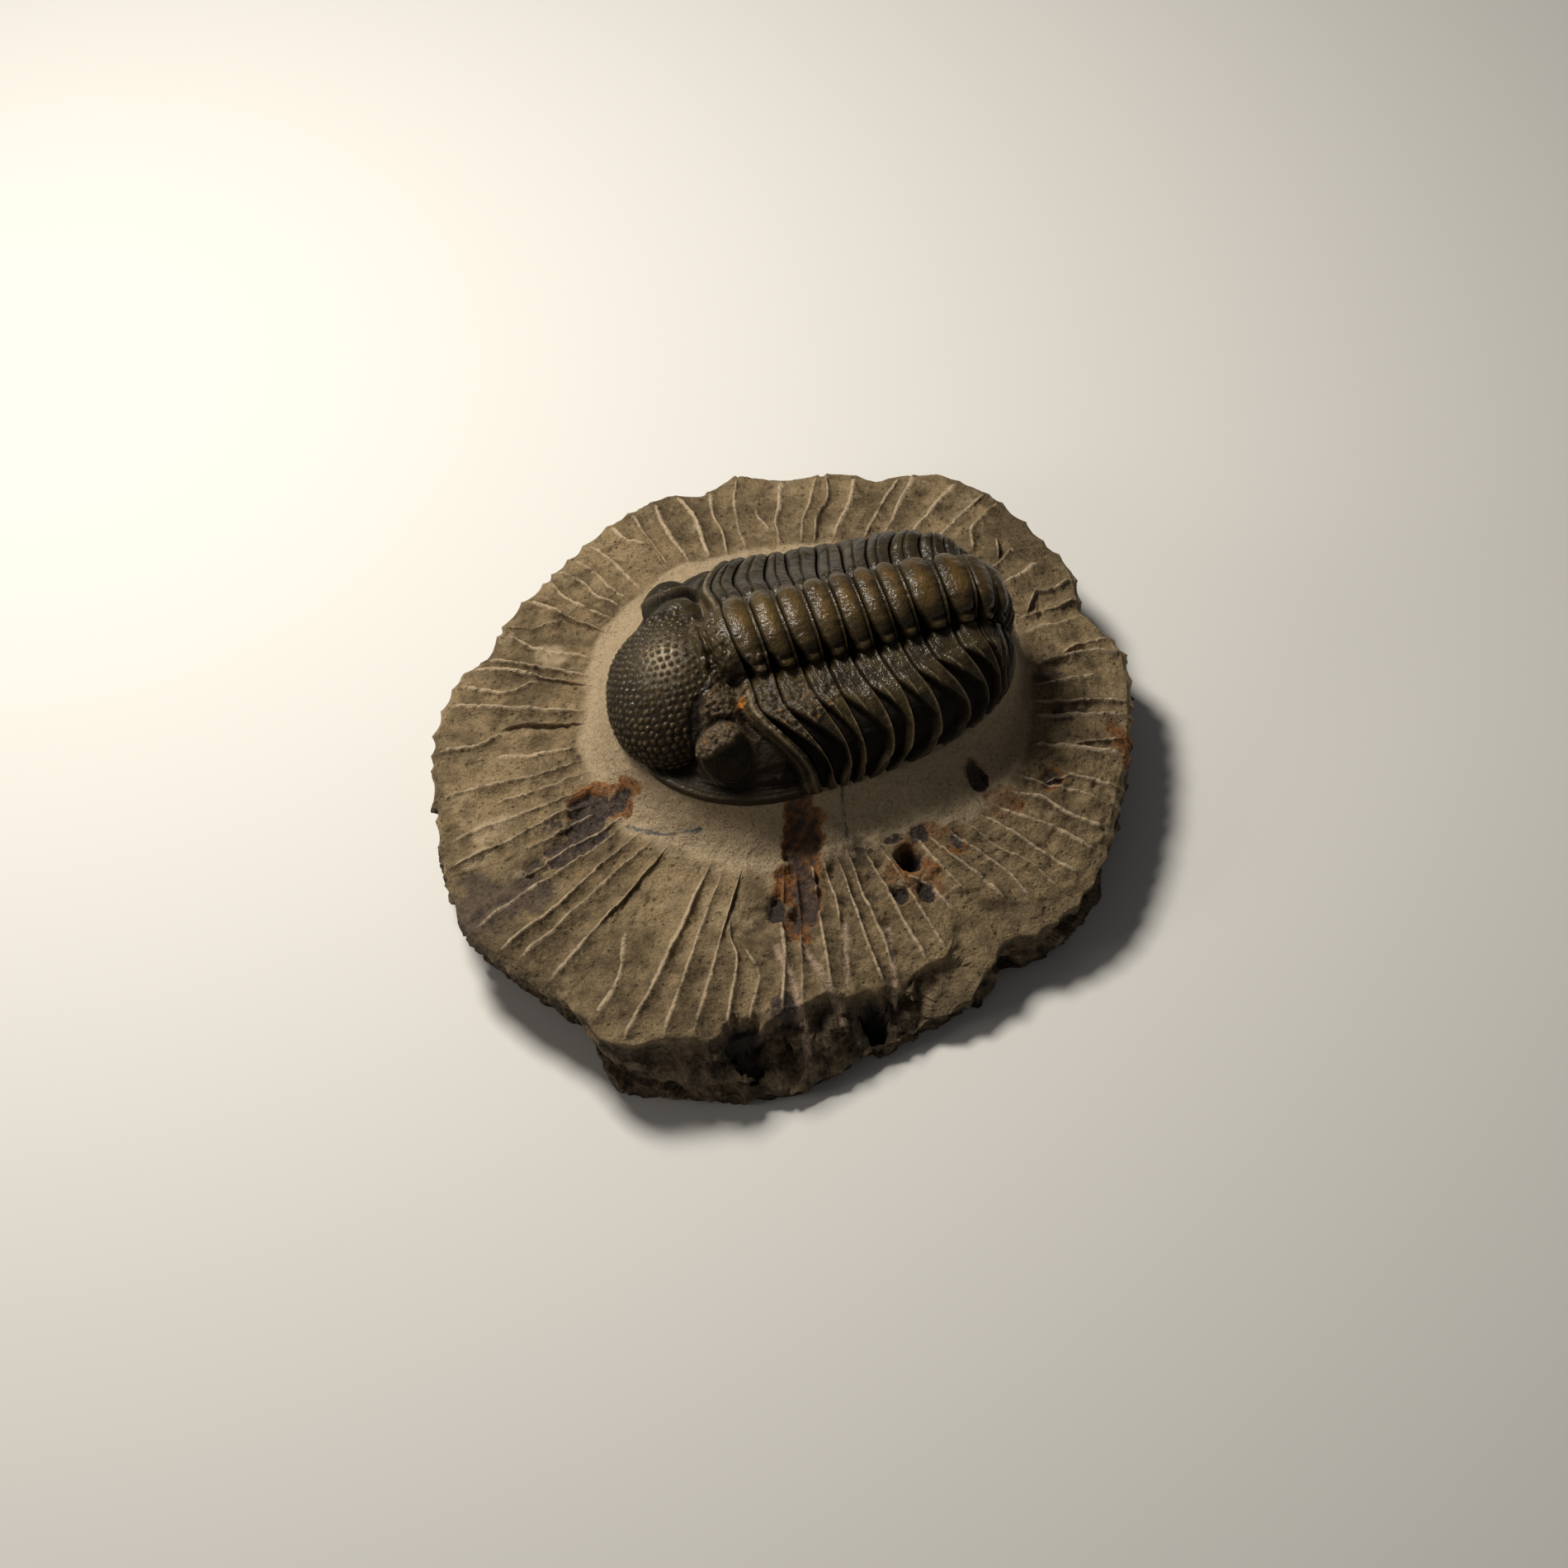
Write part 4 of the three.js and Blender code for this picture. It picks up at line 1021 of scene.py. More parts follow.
def tail_marks(u, side):
    """From 0 to 1: ochre wear at the front, pale on the ribs, painted shade on the far side, and
    painted shade in the joint."""
    out = np.abs(side)
    rib_tops = ramp(np.cos(2 * math.pi * (TAIL_RIBS * u + 0.1 * out)), 0.6, 1)
    return {
        "worn": 0.5 * bump(out, 0, 0.12) * bump(u, 0.15, 0.2),
        "pale": 0.35 * rib_tops * ramp(out, 0.3, 0.6),
        # painted shade on the far side
        "slate": ramp(side, 0.1, 0.4) * 0.7,
        # painted shade in the joint
        "deep": fade(u, 0, 0.05),
        "crust": np.zeros_like(u),
        "speck": np.zeros_like(u),
    }


def tail_shield():
    """The last plate, from the eleventh cross line down to the shell's edge."""
    joints = (SEGMENTS, LAST_LINE)
    u, side, points, normals = plate_grid(*joints, TAIL_U, SIDE_STEPS)
    upper = lift(points, normals, tail_relief(u, side) + 0.10 * rough(points, 2.2, 41))
    lower = inner_face(*joints, TAIL_LOW_U, LOW_SIDE, TAIL_DEPTH)
    add_piece("pygidium", *closed_sheet(upper, lower), shell, "shell", tail_marks(u, side))


tail_shield()

# %% [markdown]
# ## Head shield
# The head is one plate with several swellings: the glabella covered in tubercles, two narrow rings
# behind it, the cheeks with their rolled border, and a turret eye on each side. Each swelling is
# an ellipsoid, and the surface is the outermost of them all with small fillets, found by walking
# in along the body's normals until the distance changes sign. Metaballs would make the same
# blobs, but walking along the normals keeps the neat grid that the tubercles need.

# %% Forms of the head, in millimetres from the axis and above the shell's edge
GLABELLA = ((-13.2, 0.0, 1.6), (11.0, 12.4, 11.2))
GLABELLA_NEAR = ((-18.2, -4.6, 3.4), (6.4, 8.2, 6.6))
FIRST_RING = ((-11.4, -0.5, 7.0), (1.7, 6.7, 6.7))
NECK_RING = ((-8.4, -0.6, 7.4), (2.6, 6.4, 7.9))
FAR_SINK = 1.3
RING_KNOB = ((-10.9, 6.6, 10.0), (1.3, 1.2, 1.3))
BROW = ((-11.2, 9.6, 5.6), (4.6, 3.7, 5.3))
EYE = ((-11.5, 14.0, 4.6), (4.1, 3.9, 5.0))
BORDER_RADIUS = 0.65
BORDER_INSET = 0.65
BORDER_LIFT = 0.4
CHEEK_INSET = 1.3
CHEEK_POWER = 2.4
CHEEK_REAR_HEIGHT = 12.4
CHEEK_FRONT_HEIGHT = 3.2
CHEEK_SCALE = 9
SOFT = 0.8
BORDER_FILLET = 1.8
EYE_FILLET = 1.7
CREASE = 0.5
NEAR_FILLET = 3


def sunk(points):
    """Points of the far side raised by a little, so that the forms there come out lower."""
    lower = FAR_SINK * ramp(points[..., 1], 0, 9) * ramp(points[..., 2], 1, 5)
    return points + lower[..., None] * (0, 0, 1)


def mirrored(points):
    """Points of the near side moved over to the far side, so that a form there serves both."""
    return np.stack([points[..., 0], np.abs(points[..., 1]), points[..., 2]], axis=-1)


def ellipsoid(points, form):
    """Rough distance to an ellipsoid: k (k - 1) / m, with k the scaled distance to its middle
    and m the same scaled twice. It is below zero inside."""
    middle, radii = np.array(form[0]), np.array(form[1])
    offset = points - middle
    k = np.linalg.norm(offset / radii, axis=-1)
    m = np.linalg.norm(offset / radii**2, axis=-1)
    return k * (k - 1) / np.maximum(m, 1e-6)


def join(first, second, reach):
    """The smaller of two distances, with a fillet: h^2 reach / 4 is taken off where they are
    closer together than the reach."""
    h = np.maximum(reach - np.abs(first - second), 0) / reach
    return np.minimum(first, second) - h * h * reach / 4


def glabella(points):
    """Distance to the glabella: one large ellipsoid, and one that swells it at the near front."""
    return join(ellipsoid(mirrored(points), GLABELLA), ellipsoid(points, GLABELLA_NEAR), NEAR_FILLET)


def inside_margin(x, y):
    """About how far a place lies inside the shell's lower edge, seen from above."""
    return (1 - margin_share(x, y, 0)) * MARGIN_HALF_WIDTH


def cheek_and_border(points):
    """Distance to the cheeks, a superellipsoid that rises towards the rear, with a round roll
    along the edge."""
    x, y, z = np.moveaxis(points, -1, 0)
    back = ramp(x, MARGIN_MID_X - MARGIN_FRONT, 0) ** 2
    low = np.maximum(z, 0) / grade(back, CHEEK_FRONT_HEIGHT, CHEEK_REAR_HEIGHT)
    wide = margin_share(x, y, -CHEEK_INSET)
    cheek = ((low**CHEEK_POWER + wide**CHEEK_POWER) ** (1 / CHEEK_POWER) - 1) * CHEEK_SCALE
    border = np.hypot(inside_margin(x, y) - BORDER_INSET, z - BORDER_LIFT) - BORDER_RADIUS
    return join(cheek, border, BORDER_FILLET)


def head_distance(points):
    """Distance to the whole head: cheeks, border roll, rings, glabella, brows and eyes."""
    points = sunk(points)
    both = mirrored(points)
    rings = join(ellipsoid(points, FIRST_RING), ellipsoid(points, NECK_RING), CREASE)
    lobes = join(join(glabella(points), rings, CREASE), ellipsoid(both, RING_KNOB), CREASE)
    eye = join(ellipsoid(both, EYE), ellipsoid(both, BROW), CREASE)
    return join(join(cheek_and_border(points), lobes, SOFT), eye, EYE_FILLET)


print(f"top of the glabella: {GLABELLA[0][2] + GLABELLA[1][2]:.1f} mm above the shell's edge")

# %% Find the head's outer face
SEARCH_OUT = 5.0
SEARCH_IN = -9.0
SEARCH_STEP = 0.25
HALVINGS = 12
REAR_RIDGE_RISE = 0.35
REAR_FURROW_DEPTH = 0.6


def head_height(points, normals, ahead, side):
    """Walks in from outside in steps, halves the last step, and hands over to the plain body at
    the rear edge, where a ridge and a furrow run along the cheek."""
    reached = np.full(side.shape, SEARCH_OUT)
    outside = np.ones(side.shape, dtype=bool)
    for height in np.arange(SEARCH_OUT, SEARCH_IN, -SEARCH_STEP):
        outside &= head_distance(points + normals * height) > 0
        reached = np.where(outside, height, reached)
    low = reached - SEARCH_STEP
    high = reached
    for _ in range(HALVINGS):
        middle = (low + high) / 2
        is_out = head_distance(points + normals * middle[..., None]) > 0
        high = np.where(is_out, middle, high)
        low = np.where(is_out, low, middle)
    on_flank = ramp(np.abs(side), RING_SHARE, RING_SHARE + 0.08)
    edge = REAR_RIDGE_RISE * bump(ahead, 0.9, 0.5) - REAR_FURROW_DEPTH * bump(ahead, 2.6, 0.7)
    return high * ramp(ahead, 0.4, 3.4) + edge * on_flank


print(f"the search ends within {SEARCH_STEP / 2**HALVINGS:.5f} mm")

# %% [markdown]
# ### Tubercles
# The tubercles sit like seeds in a sunflower, evenly but not in straight rows. They could be
# scattered as small spheres, but those would lie on the shell instead of growing out of it. Points
# spread over a sphere by the golden angle give the even spacing for free. A point of the glabella
# looks up its nearest and second nearest seed: where both are equally far lies the groove between
# two tubercles, and where one is much nearer lies a top. The seeds stand a little wider apart
# towards the rear top, as on the fossil.

# %% Seeds of the tubercles
SEED_MIDDLE = np.array((-13.2, -1.0, 1.6))
SEED_POLE = unit(np.array((0.35, 0.30, 0.88)))
SEED_COUNT = 1650
SEED_CROWDING = 0.79
SEED_NUDGE = 0.012
TUBERCLE_RISE = 0.29
TUBERCLE_RADIUS = 0.042
GOLDEN_ANGLE = math.pi * (3 - math.sqrt(5))
BATCHES = 24


def seed_directions():
    """Directions from the glabella's middle. Seed k lies at height 1 - 2 s^c along the pole with
    s = (k + 1/2) / n, turned by k golden angles, and is then nudged at random."""
    k = np.arange(SEED_COUNT)
    height = 1 - 2 * ((k + 0.5) / SEED_COUNT) ** SEED_CROWDING
    turn = k * GOLDEN_ANGLE
    flat = np.sqrt(1 - height**2)
    east = unit(np.cross(SEED_POLE, (0.0, 1.0, 0.0)))
    north = np.cross(SEED_POLE, east)
    seeds = (height[:, None] * SEED_POLE + (flat * np.cos(turn))[:, None] * east
             + (flat * np.sin(turn))[:, None] * north)
    return unit(seeds + np.random.default_rng(5).normal(0, SEED_NUDGE, seeds.shape))


def tubercles(points):
    """For each point, how much nearer its nearest seed is than the next, from 0 in the groove
    between two to 1 at a seed, and the height of a round bump on the nearest seed, which falls
    off as (1 - d^2 / r^2)^1.5."""
    seeds = seed_directions().astype(np.float32)
    flat = points.reshape(-1, 3)
    share, rise = np.empty((2, len(flat)))
    for part in np.array_split(np.arange(len(flat)), BATCHES):
        ways = unit(flat[part] - SEED_MIDDLE).astype(np.float32)
        nearest = np.sort(np.partition(ways @ seeds.T, -2, axis=1)[:, -2:], axis=1)
        far, near = np.sqrt(np.maximum(2 - 2 * nearest, 0)).T
        share[part] = (far - near) / (far + near)
        rise[part] = TUBERCLE_RISE * np.clip(1 - (near / TUBERCLE_RADIUS) ** 2, 0, 1) ** 1.5
    return share.reshape(points.shape[:-1]), rise.reshape(points.shape[:-1])


print(f"{SEED_COUNT} seeds, tubercles {2 * TUBERCLE_RADIUS * GLABELLA[1][0]:.2f} mm across")

# %% [markdown]
# ### Eyes and border
# The eye is a turret: its outer face is dished and set with curved rows of lenses, and a grainy
# lobe lies over it. Single lenses could be laid on by the hundred, but the photograph shows no
# more than their rows, so a wave round the middle of the face makes the rows. The same kind of
# wave, run along the head's edge, makes the fine grooves of its border.

# %% Relief of eyes and border, in millimetres
LENS_AXIS = unit(np.array((-0.10, 0.83, 0.55)))
LENS_ROW = 0.085
LENS_RISE = 0.11
DISH_DEPTH = 0.22
EYE_RIM_RISE = 0.26
EYE_RIM_TURN = 1.10
EYE_GROOVE_NEAR = 0.25
EYE_GROOVE_FAR = 0.60
EYE_GROOVE_TURN = 1.42
LOBE_AXIS = unit(np.array((-0.35, -0.50, 0.75)))
LOBE_RISE = (0.16, 0.66)
STRIA_PITCH = 0.62
STRIA_DEPTH = 0.09
LIP_GROOVE_DEPTH = 0.30


def eye_angles(points):
    """How far points of an eye are turned away from the middle of its lenses, in radians, and 1
    on the eye, 0 away from it."""
    way = (mirrored(sunk(points)) - np.array(EYE[0])) / np.array(EYE[1])
    reach = np.linalg.norm(way, axis=-1)
    turned = np.arccos(np.clip(unit(way) @ LENS_AXIS, -1, 1))
    return turned, fade(reach, 1.10, 1.30)


def eye_grain(points):
    """1 on the near eye's grainy upper lobe, 0 on the face that carries the lenses."""
    way = unit((mirrored(points) - np.array(EYE[0])) / np.array(EYE[1]))
    near = fade(points[..., 1], -2, 0)
    return near * ramp(way @ LOBE_AXIS + 0.10 * rough(points, 1.6, 93, 2), 0.22, 0.42)


def eye_relief(points):
    """Rings of lenses round the dished face, a grainy lobe above it, a thin rim and the groove
    behind it."""
    turned, on_eye = eye_angles(points)
    grain = eye_grain(points)
    face = fade(turned, 0.95, 1.05) * (1 - grain)
    lenses = LENS_RISE * np.cos(turned * 2 * math.pi / LENS_ROW) * face
    dish = -DISH_DEPTH * bump(turned, 0.25, 0.5) * face
    rim = EYE_RIM_RISE * bump(turned, EYE_RIM_TURN, 0.08) * (1 - grain)
    warts = grade(np.abs(rough(points, 0.9, 91, 2)), *LOBE_RISE) * grain
    groove = -np.where(points[..., 1] < 0, EYE_GROOVE_NEAR, EYE_GROOVE_FAR)
    groove = groove * bump(turned, EYE_GROOVE_TURN, 0.11) * ramp(points[..., 2], 6, 9)
    return on_eye * (lenses + dish + rim + warts + groove)


def border_relief(points):
    """Fine grooves along the head's lower edge, a wave cos(2 pi d / pitch) of the distance d
    from the edge, and a deeper one that sets off the lip."""
    inside = inside_margin(points[..., 0], points[..., 1])
    wave = STRIA_DEPTH * (1 - np.cos(2 * math.pi * inside / STRIA_PITCH)) * fade(inside, 3.0, 3.8)
    _, on_eye = eye_angles(points)
    grooves = wave + LIP_GROOVE_DEPTH * bump(inside, 2.5, 0.2)
    return -grooves * (1 - on_eye) * fade(points[..., 2], 3.5, 5.5)


def moat(points, away):
    """1 in the deep furrow between the glabella and the near eye; away is the distance from the
    glabella."""
    x, y = points[..., 0], points[..., 1]
    trench = ramp(away, 0.05, 0.35) * fade(away, 0.7, 1.5)
    return trench * ramp(-y, 7.0, 9.0) * fade(x, -14.0, -12.0)


print(f"lens rows: about {LENS_ROW * EYE[1][1]:.2f} mm apart")

# %% Colour marks of the head
BROW_CRUST_MIDDLE = (-10.2, -9.9)
BROW_CRUST_REACH = (4.6, 3.4)
# A painted highlight: a pale net between the tubercles on the glabella's top
GLINT_NET_MIDDLE = (-16.8, -1.0)
GLINT_NET_REACH = (3.4, 4.6)
SPECK_MIDDLE = (-7.9, -10.4)


def distance_in(points, middle, reach=(1.0, 1.0)):
    """Distance from a middle seen from above, 1 on the ellipse with the given reaches."""
    return np.hypot((points[..., 0] - middle[0]) / reach[0], (points[..., 1] - middle[1]) / reach[1])


def eye_marks(points):
    """On the eye: its crusty grain, its pale rim, and painted shade on its lens rows and in its
    groove.
    """
    turned, on_eye = eye_angles(points)
    grain = on_eye * eye_grain(points)
    lens_face = on_eye * (1 - grain)
    # painted shade, darkest in the grooves between the rows of lenses
    rows = lens_face * (0.62 - 0.38 * np.cos(turned * 2 * math.pi / LENS_ROW))
    groove = on_eye * bump(turned, EYE_GROOVE_TURN, 0.12) * ramp(points[..., 2], 6, 9)
    return grain, lens_face * bump(turned, EYE_RIM_TURN, 0.10), 0.8 * rows + groove


def cheek_shade(points, knobby, edge, lip, away):
    """Painted shade on the near cheek, where the eye throws its shadow, in the moat, and on the
    grooved band above the lip.
    """
    x, y, z = np.moveaxis(points, -1, 0)
    _, on_eye = eye_angles(points)
    bare = (1 - on_eye) * (1 - knobby)
    # painted shadow of the eye on the near cheek
    cheek = ramp(-y, 5, 8) * bare * fade(z, 6.5, 9.5) * (0.85 + 0.15 * rough(points, 2.0, 57))
    # painted shade on the grooved band above the lip
    band = 0.40 * fade(inside_margin(x, y), 2.6, 3.4) * bare
    return np.maximum(np.maximum(cheek * (1 - 0.7 * edge) * (1 - lip), moat(points, away)), band)


def head_marks(points, ahead, side, share, knobby, away):
    """From 0 to 1: ochre wear on the rings, a painted highlight on the tubercle tops and as a pale
    net on the glabella's top, pale edge, lip and eye rim, painted shade on the far side, painted
    shade between tubercles, on the eye and on the cheek, crust and one speck."""
    x, y, _ = np.moveaxis(points, -1, 0)
    grain, eye_rim, eye_shade = eye_marks(points)
    on_rings = ramp(x, -13.5, -12.0) * (np.abs(y) < 8)
    # painted highlight: a pale net in the grooves of the glabella's top
    glint_net = knobby * np.exp(-distance_in(points, GLINT_NET_MIDDLE, GLINT_NET_REACH) ** 2)
    grooves = fade(share, 0.1, 0.5)
    on_flank = ramp(np.abs(side), RING_SHARE, RING_SHARE + 0.08)
    edge = np.clip(bump(ahead, 0.8, 0.30) + 0.5 * bump(ahead, 2.0, 0.25), 0, 1) * on_flank
    lip = 0.30 * fade(inside_margin(x, y), 0.35, 0.9) * (1 - knobby)
    shade = cheek_shade(points, knobby, edge, lip, away)
    brow = distance_in(points, BROW_CRUST_MIDDLE, BROW_CRUST_REACH) + 0.40 * rough(points, 2.2, 51)
    brow = fade(brow, 0.75, 1.05)
    crust = 0.6 * crust_share(points + (0, AXIS_Y, MARGIN_Z))
    speck = distance_in(points, SPECK_MIDDLE) + 0.3 * rough(points, 0.9, 59, 1)
    return {
        # ochre wear on the rings, and a painted highlight on the tubercle tops
        "worn": np.clip(0.30 * on_rings * bump(y, 1.0, 3.0) + 0.35 * knobby * share * (1 - glint_net), 0, 1),
        # pale edges, lip and eye rim, and the painted highlight net
        "pale": np.clip(0.95 * glint_net * grooves + 0.6 * edge + 0.5 * lip + 0.5 * eye_rim + 0.12 * grain,
                        0, 1),
        # painted shade on the far side
        "slate": ramp(y, 8, 12) * 0.5,
        # painted shade between tubercles, on the eye's lens rows and groove, and on the cheek
        "deep": np.clip(0.85 * knobby * grooves * (1 - glint_net) + eye_shade + shade, 0, 1),
        "crust": np.clip(np.maximum(np.maximum(crust, brow), grain), 0, 1),
        "speck": fade(speck, 0.4, 0.9),
    }


print("orange speck, mm:", SPECK_MIDDLE)

# %% Build the head shield
HEAD_ROWS = 240
HEAD_COLUMNS = 400
COARSER = 8
HEAD_THICKNESS = 2.5
MOAT_DEPTH = 0.6
RING_LUMPS = 0.34
HEAD_UNEVEN = 0.06


def head_grid(rows, columns):
    """Body points, normals and the distance ahead of the rear edge, on lines -6 to 0."""
    u, side = np.meshgrid(np.linspace(0, 1, rows + 1), np.linspace(-1, 1, columns + 1), indexing="ij")
    rear = -joint_share(np.zeros_like(side), side)
    line = grade(u, FIRST_LINE, rear)
    points = body_point(line, side)
    ahead = np.linalg.norm(body_point(np.zeros_like(line), side) - points, axis=-1)
    return side, points, body_normal(line, side), ahead


def head_texture(face, ahead, crust, knobby):
    """Lumps on the rings, warts on the crust, and a little unevenness between the tubercles."""
    on_rings = ramp(face[..., 0], -12.6, -11.6) * (np.abs(face[..., 1]) < 7.5) * ramp(ahead, 0.5, 1.5)
    lumpy = RING_LUMPS * (rough(face, 2.6, 71, 1) + rough(face, 1.0, 75, 2)) * on_rings
    _, on_eye = eye_angles(face)
    warts = crust * (1 - on_eye) * (0.55 * np.abs(rough(face, 1.0, 61, 2)) - 0.05)
    return lumpy + warts + HEAD_UNEVEN * rough(face, 1.8, 81) * (1 - knobby)


def head_shield():
    """The head's outer face with all its relief, closed by a coarser face inside it. Knobby is 1
    on the glabella, where the tubercles stand."""
    side, points, normals, ahead = head_grid(HEAD_ROWS, HEAD_COLUMNS)
    height = head_height(points, normals, ahead, side)
    face = points + normals * height[..., None]
    away = glabella(face)
    knobby = fade(away, 0.05, 0.25) * ramp(face[..., 2], 0.4, 1.2)
    knobby = knobby * fade(face[..., 0], -11.9, -11.3)
    share, knobs = tubercles(face)
    marks = head_marks(face, ahead, side, share, knobby, away)
    height = height + knobby * knobs + eye_relief(face) + border_relief(face) * (1 - knobby)
    height = height - MOAT_DEPTH * moat(face, away) + head_texture(face, ahead, marks["crust"], knobby)
    upper = lift(points, normals, height)
    side, points, normals, ahead = head_grid(HEAD_ROWS // COARSER, HEAD_COLUMNS // COARSER)
    lower = lift(points, normals, head_height(points, normals, ahead, side) - HEAD_THICKNESS)
    add_piece("cephalon", *closed_sheet(upper, lower), shell, "shell", marks)


head_shield()

# %% [markdown]
# ## The rock
# The slab, its pedestal and the rock inside the shell are one piece. Its surface is a stack of
# rings about the slab's middle, each with ten points from one chisel ridge to the next, closer
# together at the ridge, so a crest always lies on a row of points and stays sharp however few
# faces there are. A displaced plane would need many times as many.

# %% Sizes of the slab
SHOULDER_Z = MARGIN_Z - 0.1
FOOT_Z = 13.9
# Angle about the slab's middle, and how far out from the shell the pedestal's foot lies
FOOT = np.array([(0, 2.2), (14, 3.7), (38, 7.6), (90, 8.0), (125, 8.0), (141, 6.4), (156, 3.9),
                 (202, 4.4), (225, 4.5), (242, 6.0), (262, 4.9), (290, 5.9), (309, 8.1),
                 (321, 7.5), (337, 4.6), (352, 1.8)])
RIDGES = 78
# Crest of the rim, seen from above: angle in degrees about the slab's middle, and radius
RIM = np.array([
    (1, 52.4), (11, 49.9), (20, 53.7), (27, 54.1), (39, 56.5), (48, 56.5), (57, 51.7), (63, 52.2),
    (73, 49.7), (81, 51.2), (87, 48.2), (94, 49.8), (104, 48.4), (114, 46.5), (124, 45.5),
    (133, 45.8), (144, 45.1), (149, 47.8), (162, 49.6), (170, 49.9), (179, 50.4), (190, 52.7),
    (202, 55.6), (214, 54.7), (221, 54.7), (228, 58.2), (233, 57.8), (240, 55.6), (247, 52.6),
    (254, 47.4), (260, 46.6), (268, 44.7), (276, 44.6), (285, 43.6), (291, 39.6), (296, 38.6),
    (301, 43.2), (308, 47.4), (315, 48.9), (324, 49.2), (333, 49.1), (346, 50.3),
])
# Below the crest: angle, height of the crest, how much further out the edge lies, its height, and
# how broken the face between them is
BREAK = np.array([
    (180, 12, 0.8, 10.8, 0), (221, 12.2, 0.8, 10.8, 0.6), (228, 12.2, 1.0, 10.5, 1),
    (233, 12.4, 1.1, 8, 1), (240, 12.4, 2.3, 5, 1), (247, 12, 4.3, 2.6, 1), (254, 12, 8, 2, 1),
    (260, 11.6, 6.8, 2.4, 1), (268, 9.8, 5.9, 3, 1), (276, 8.2, 4.6, 3.2, 0.9),
    (285, 8.6, 6, 5.2, 0.5), (291, 10.6, 8.3, 7.2, 0.15), (296, 11.6, 7.4, 7.8, 0.1),
    (301, 10.6, 5.4, 8, 0.15), (308, 10, 3, 8.8, 0.2), (315, 10.6, 1.8, 9.6, 0.2),
    (324, 11.4, 0.9, 10.2, 0), (333, 12, 0.8, 10.8, 0),
])
WALL_LEAN = 0.6
UNDERCUT = 3.4
# Columns of BREAK
CREST_Z = 1
EDGE_OUT = 2
EDGE_Z = 3
BROKEN = 4


def around(table, degrees, column=1):
    """A column of a table read at any angle, once round the slab."""
    return np.interp(degrees % 360, table[:, 0], table[:, column], period=360)


def margin_radius(degrees, out):
    """Distance from the slab's middle to the shell's edge pushed out, by halving."""
    angle = np.radians(degrees)
    near, far = np.zeros_like(angle), np.full_like(angle, 60.0)
    for _ in range(22):
        r = (near + far) / 2
        under = margin_share(np.cos(angle) * r, np.sin(angle) * r - AXIS_Y, out) < 1
        near, far = np.where(under, r, near), np.where(under, far, r)
    return near


def polar(degrees, r, z):
    """Points from angles, distances from the slab's middle, and heights."""
    angle = np.radians(degrees)
    return np.stack([np.cos(angle) * r, np.sin(angle) * r, np.broadcast_to(z, r.shape)], axis=-1)


def layered(kind, points, layers):
    """Rough lumps or chips added up; each layer is a height and a size in millimetres, and a
    seed."""
    return sum(height * kind(points, *rest) for height, *rest in layers)


print(f"rim: {RIM[:, 1].min()} to {RIM[:, 1].max()} mm from the middle")

# %% [markdown]
# ### Chisel ridges
# A ridge is the rock left standing between two strokes of the chisel, and each stroke leaves a
# hollow facet. Where one stroke ends early, two ridges meet in a Y. A wave texture could raise
# even lines, but here each ridge has numbers of its own: where it starts and ends, how high it
# stands, and how deep the facet beside it is.

# %% Ridges
T_STEPS = np.array([0, 0.05, 0.13, 0.24, 0.37, 0.5, 0.63, 0.76, 0.87, 0.95])
FACET_DEPTH = 0.70
BURR_RISE = 0.24
BURR_WIDTH = 0.22
DUST_WIDTH = 0.31
rock_random = np.random.default_rng(17)
ridge_shift = rock_random.uniform(-0.26, 0.26, RIDGES)
ridge_from = np.where(rock_random.random(RIDGES) < 0.25, rock_random.uniform(0.2, 0.5, RIDGES), -0.1)
ridge_to = np.where(rock_random.random(RIDGES) < 0.22, rock_random.uniform(0.55, 0.8, RIDGES), 1.2)
ridge_rise = rock_random.uniform(0.65, 1.15, RIDGES)
valley_at = rock_random.uniform(0.32, 0.68, RIDGES)
facet_depth = rock_random.uniform(0.7, 1.25, RIDGES)
RIDGE_DEGREES = 360 * (np.arange(RIDGES) + ridge_shift) / RIDGES


def ridge_angles(share):
    """Angles of all columns at a share of the way from the pedestal's foot (0) to the rim (1).
    Each ridge wanders sideways a little as it runs out, and one that starts late branches off
    the ridge behind it, so the two make a Y."""
    k = np.arange(RIDGES)
    place = np.stack([k * 2.7, np.full(RIDGES, 3.1 * share), np.zeros(RIDGES)], axis=-1)
    wander = 1.0 * lumps(place, 1.0, 91) + 1.1 * lumps(place * (0.3, 0.5, 1), 1.0, 92)
    wander = wander * min(1.0, 2.5 * max(share, 0))
    here = RIDGE_DEGREES + wander
    back = np.roll(here, 1) - np.where(k == 0, 360, 0)
    pull = 0.8 * fade(share, ridge_from, ridge_from + 0.3) * (ridge_from > 0)
    here = here + (back - here) * pull
    ahead = np.roll(here, -1) + np.where(k == RIDGES - 1, 360, 0)
    return (here[:, None] + (ahead - here)[:, None] * T_STEPS).ravel()


def ridge_strength(share):
    """How far each ridge stands up at a share: some start late, some end early."""
    return (ridge_rise * ramp(share, ridge_from, ridge_from + 0.12)
            * fade(share, ridge_to - 0.12, ridge_to) * (1 - 0.75 * ramp(share, 0.90, 1.0)))


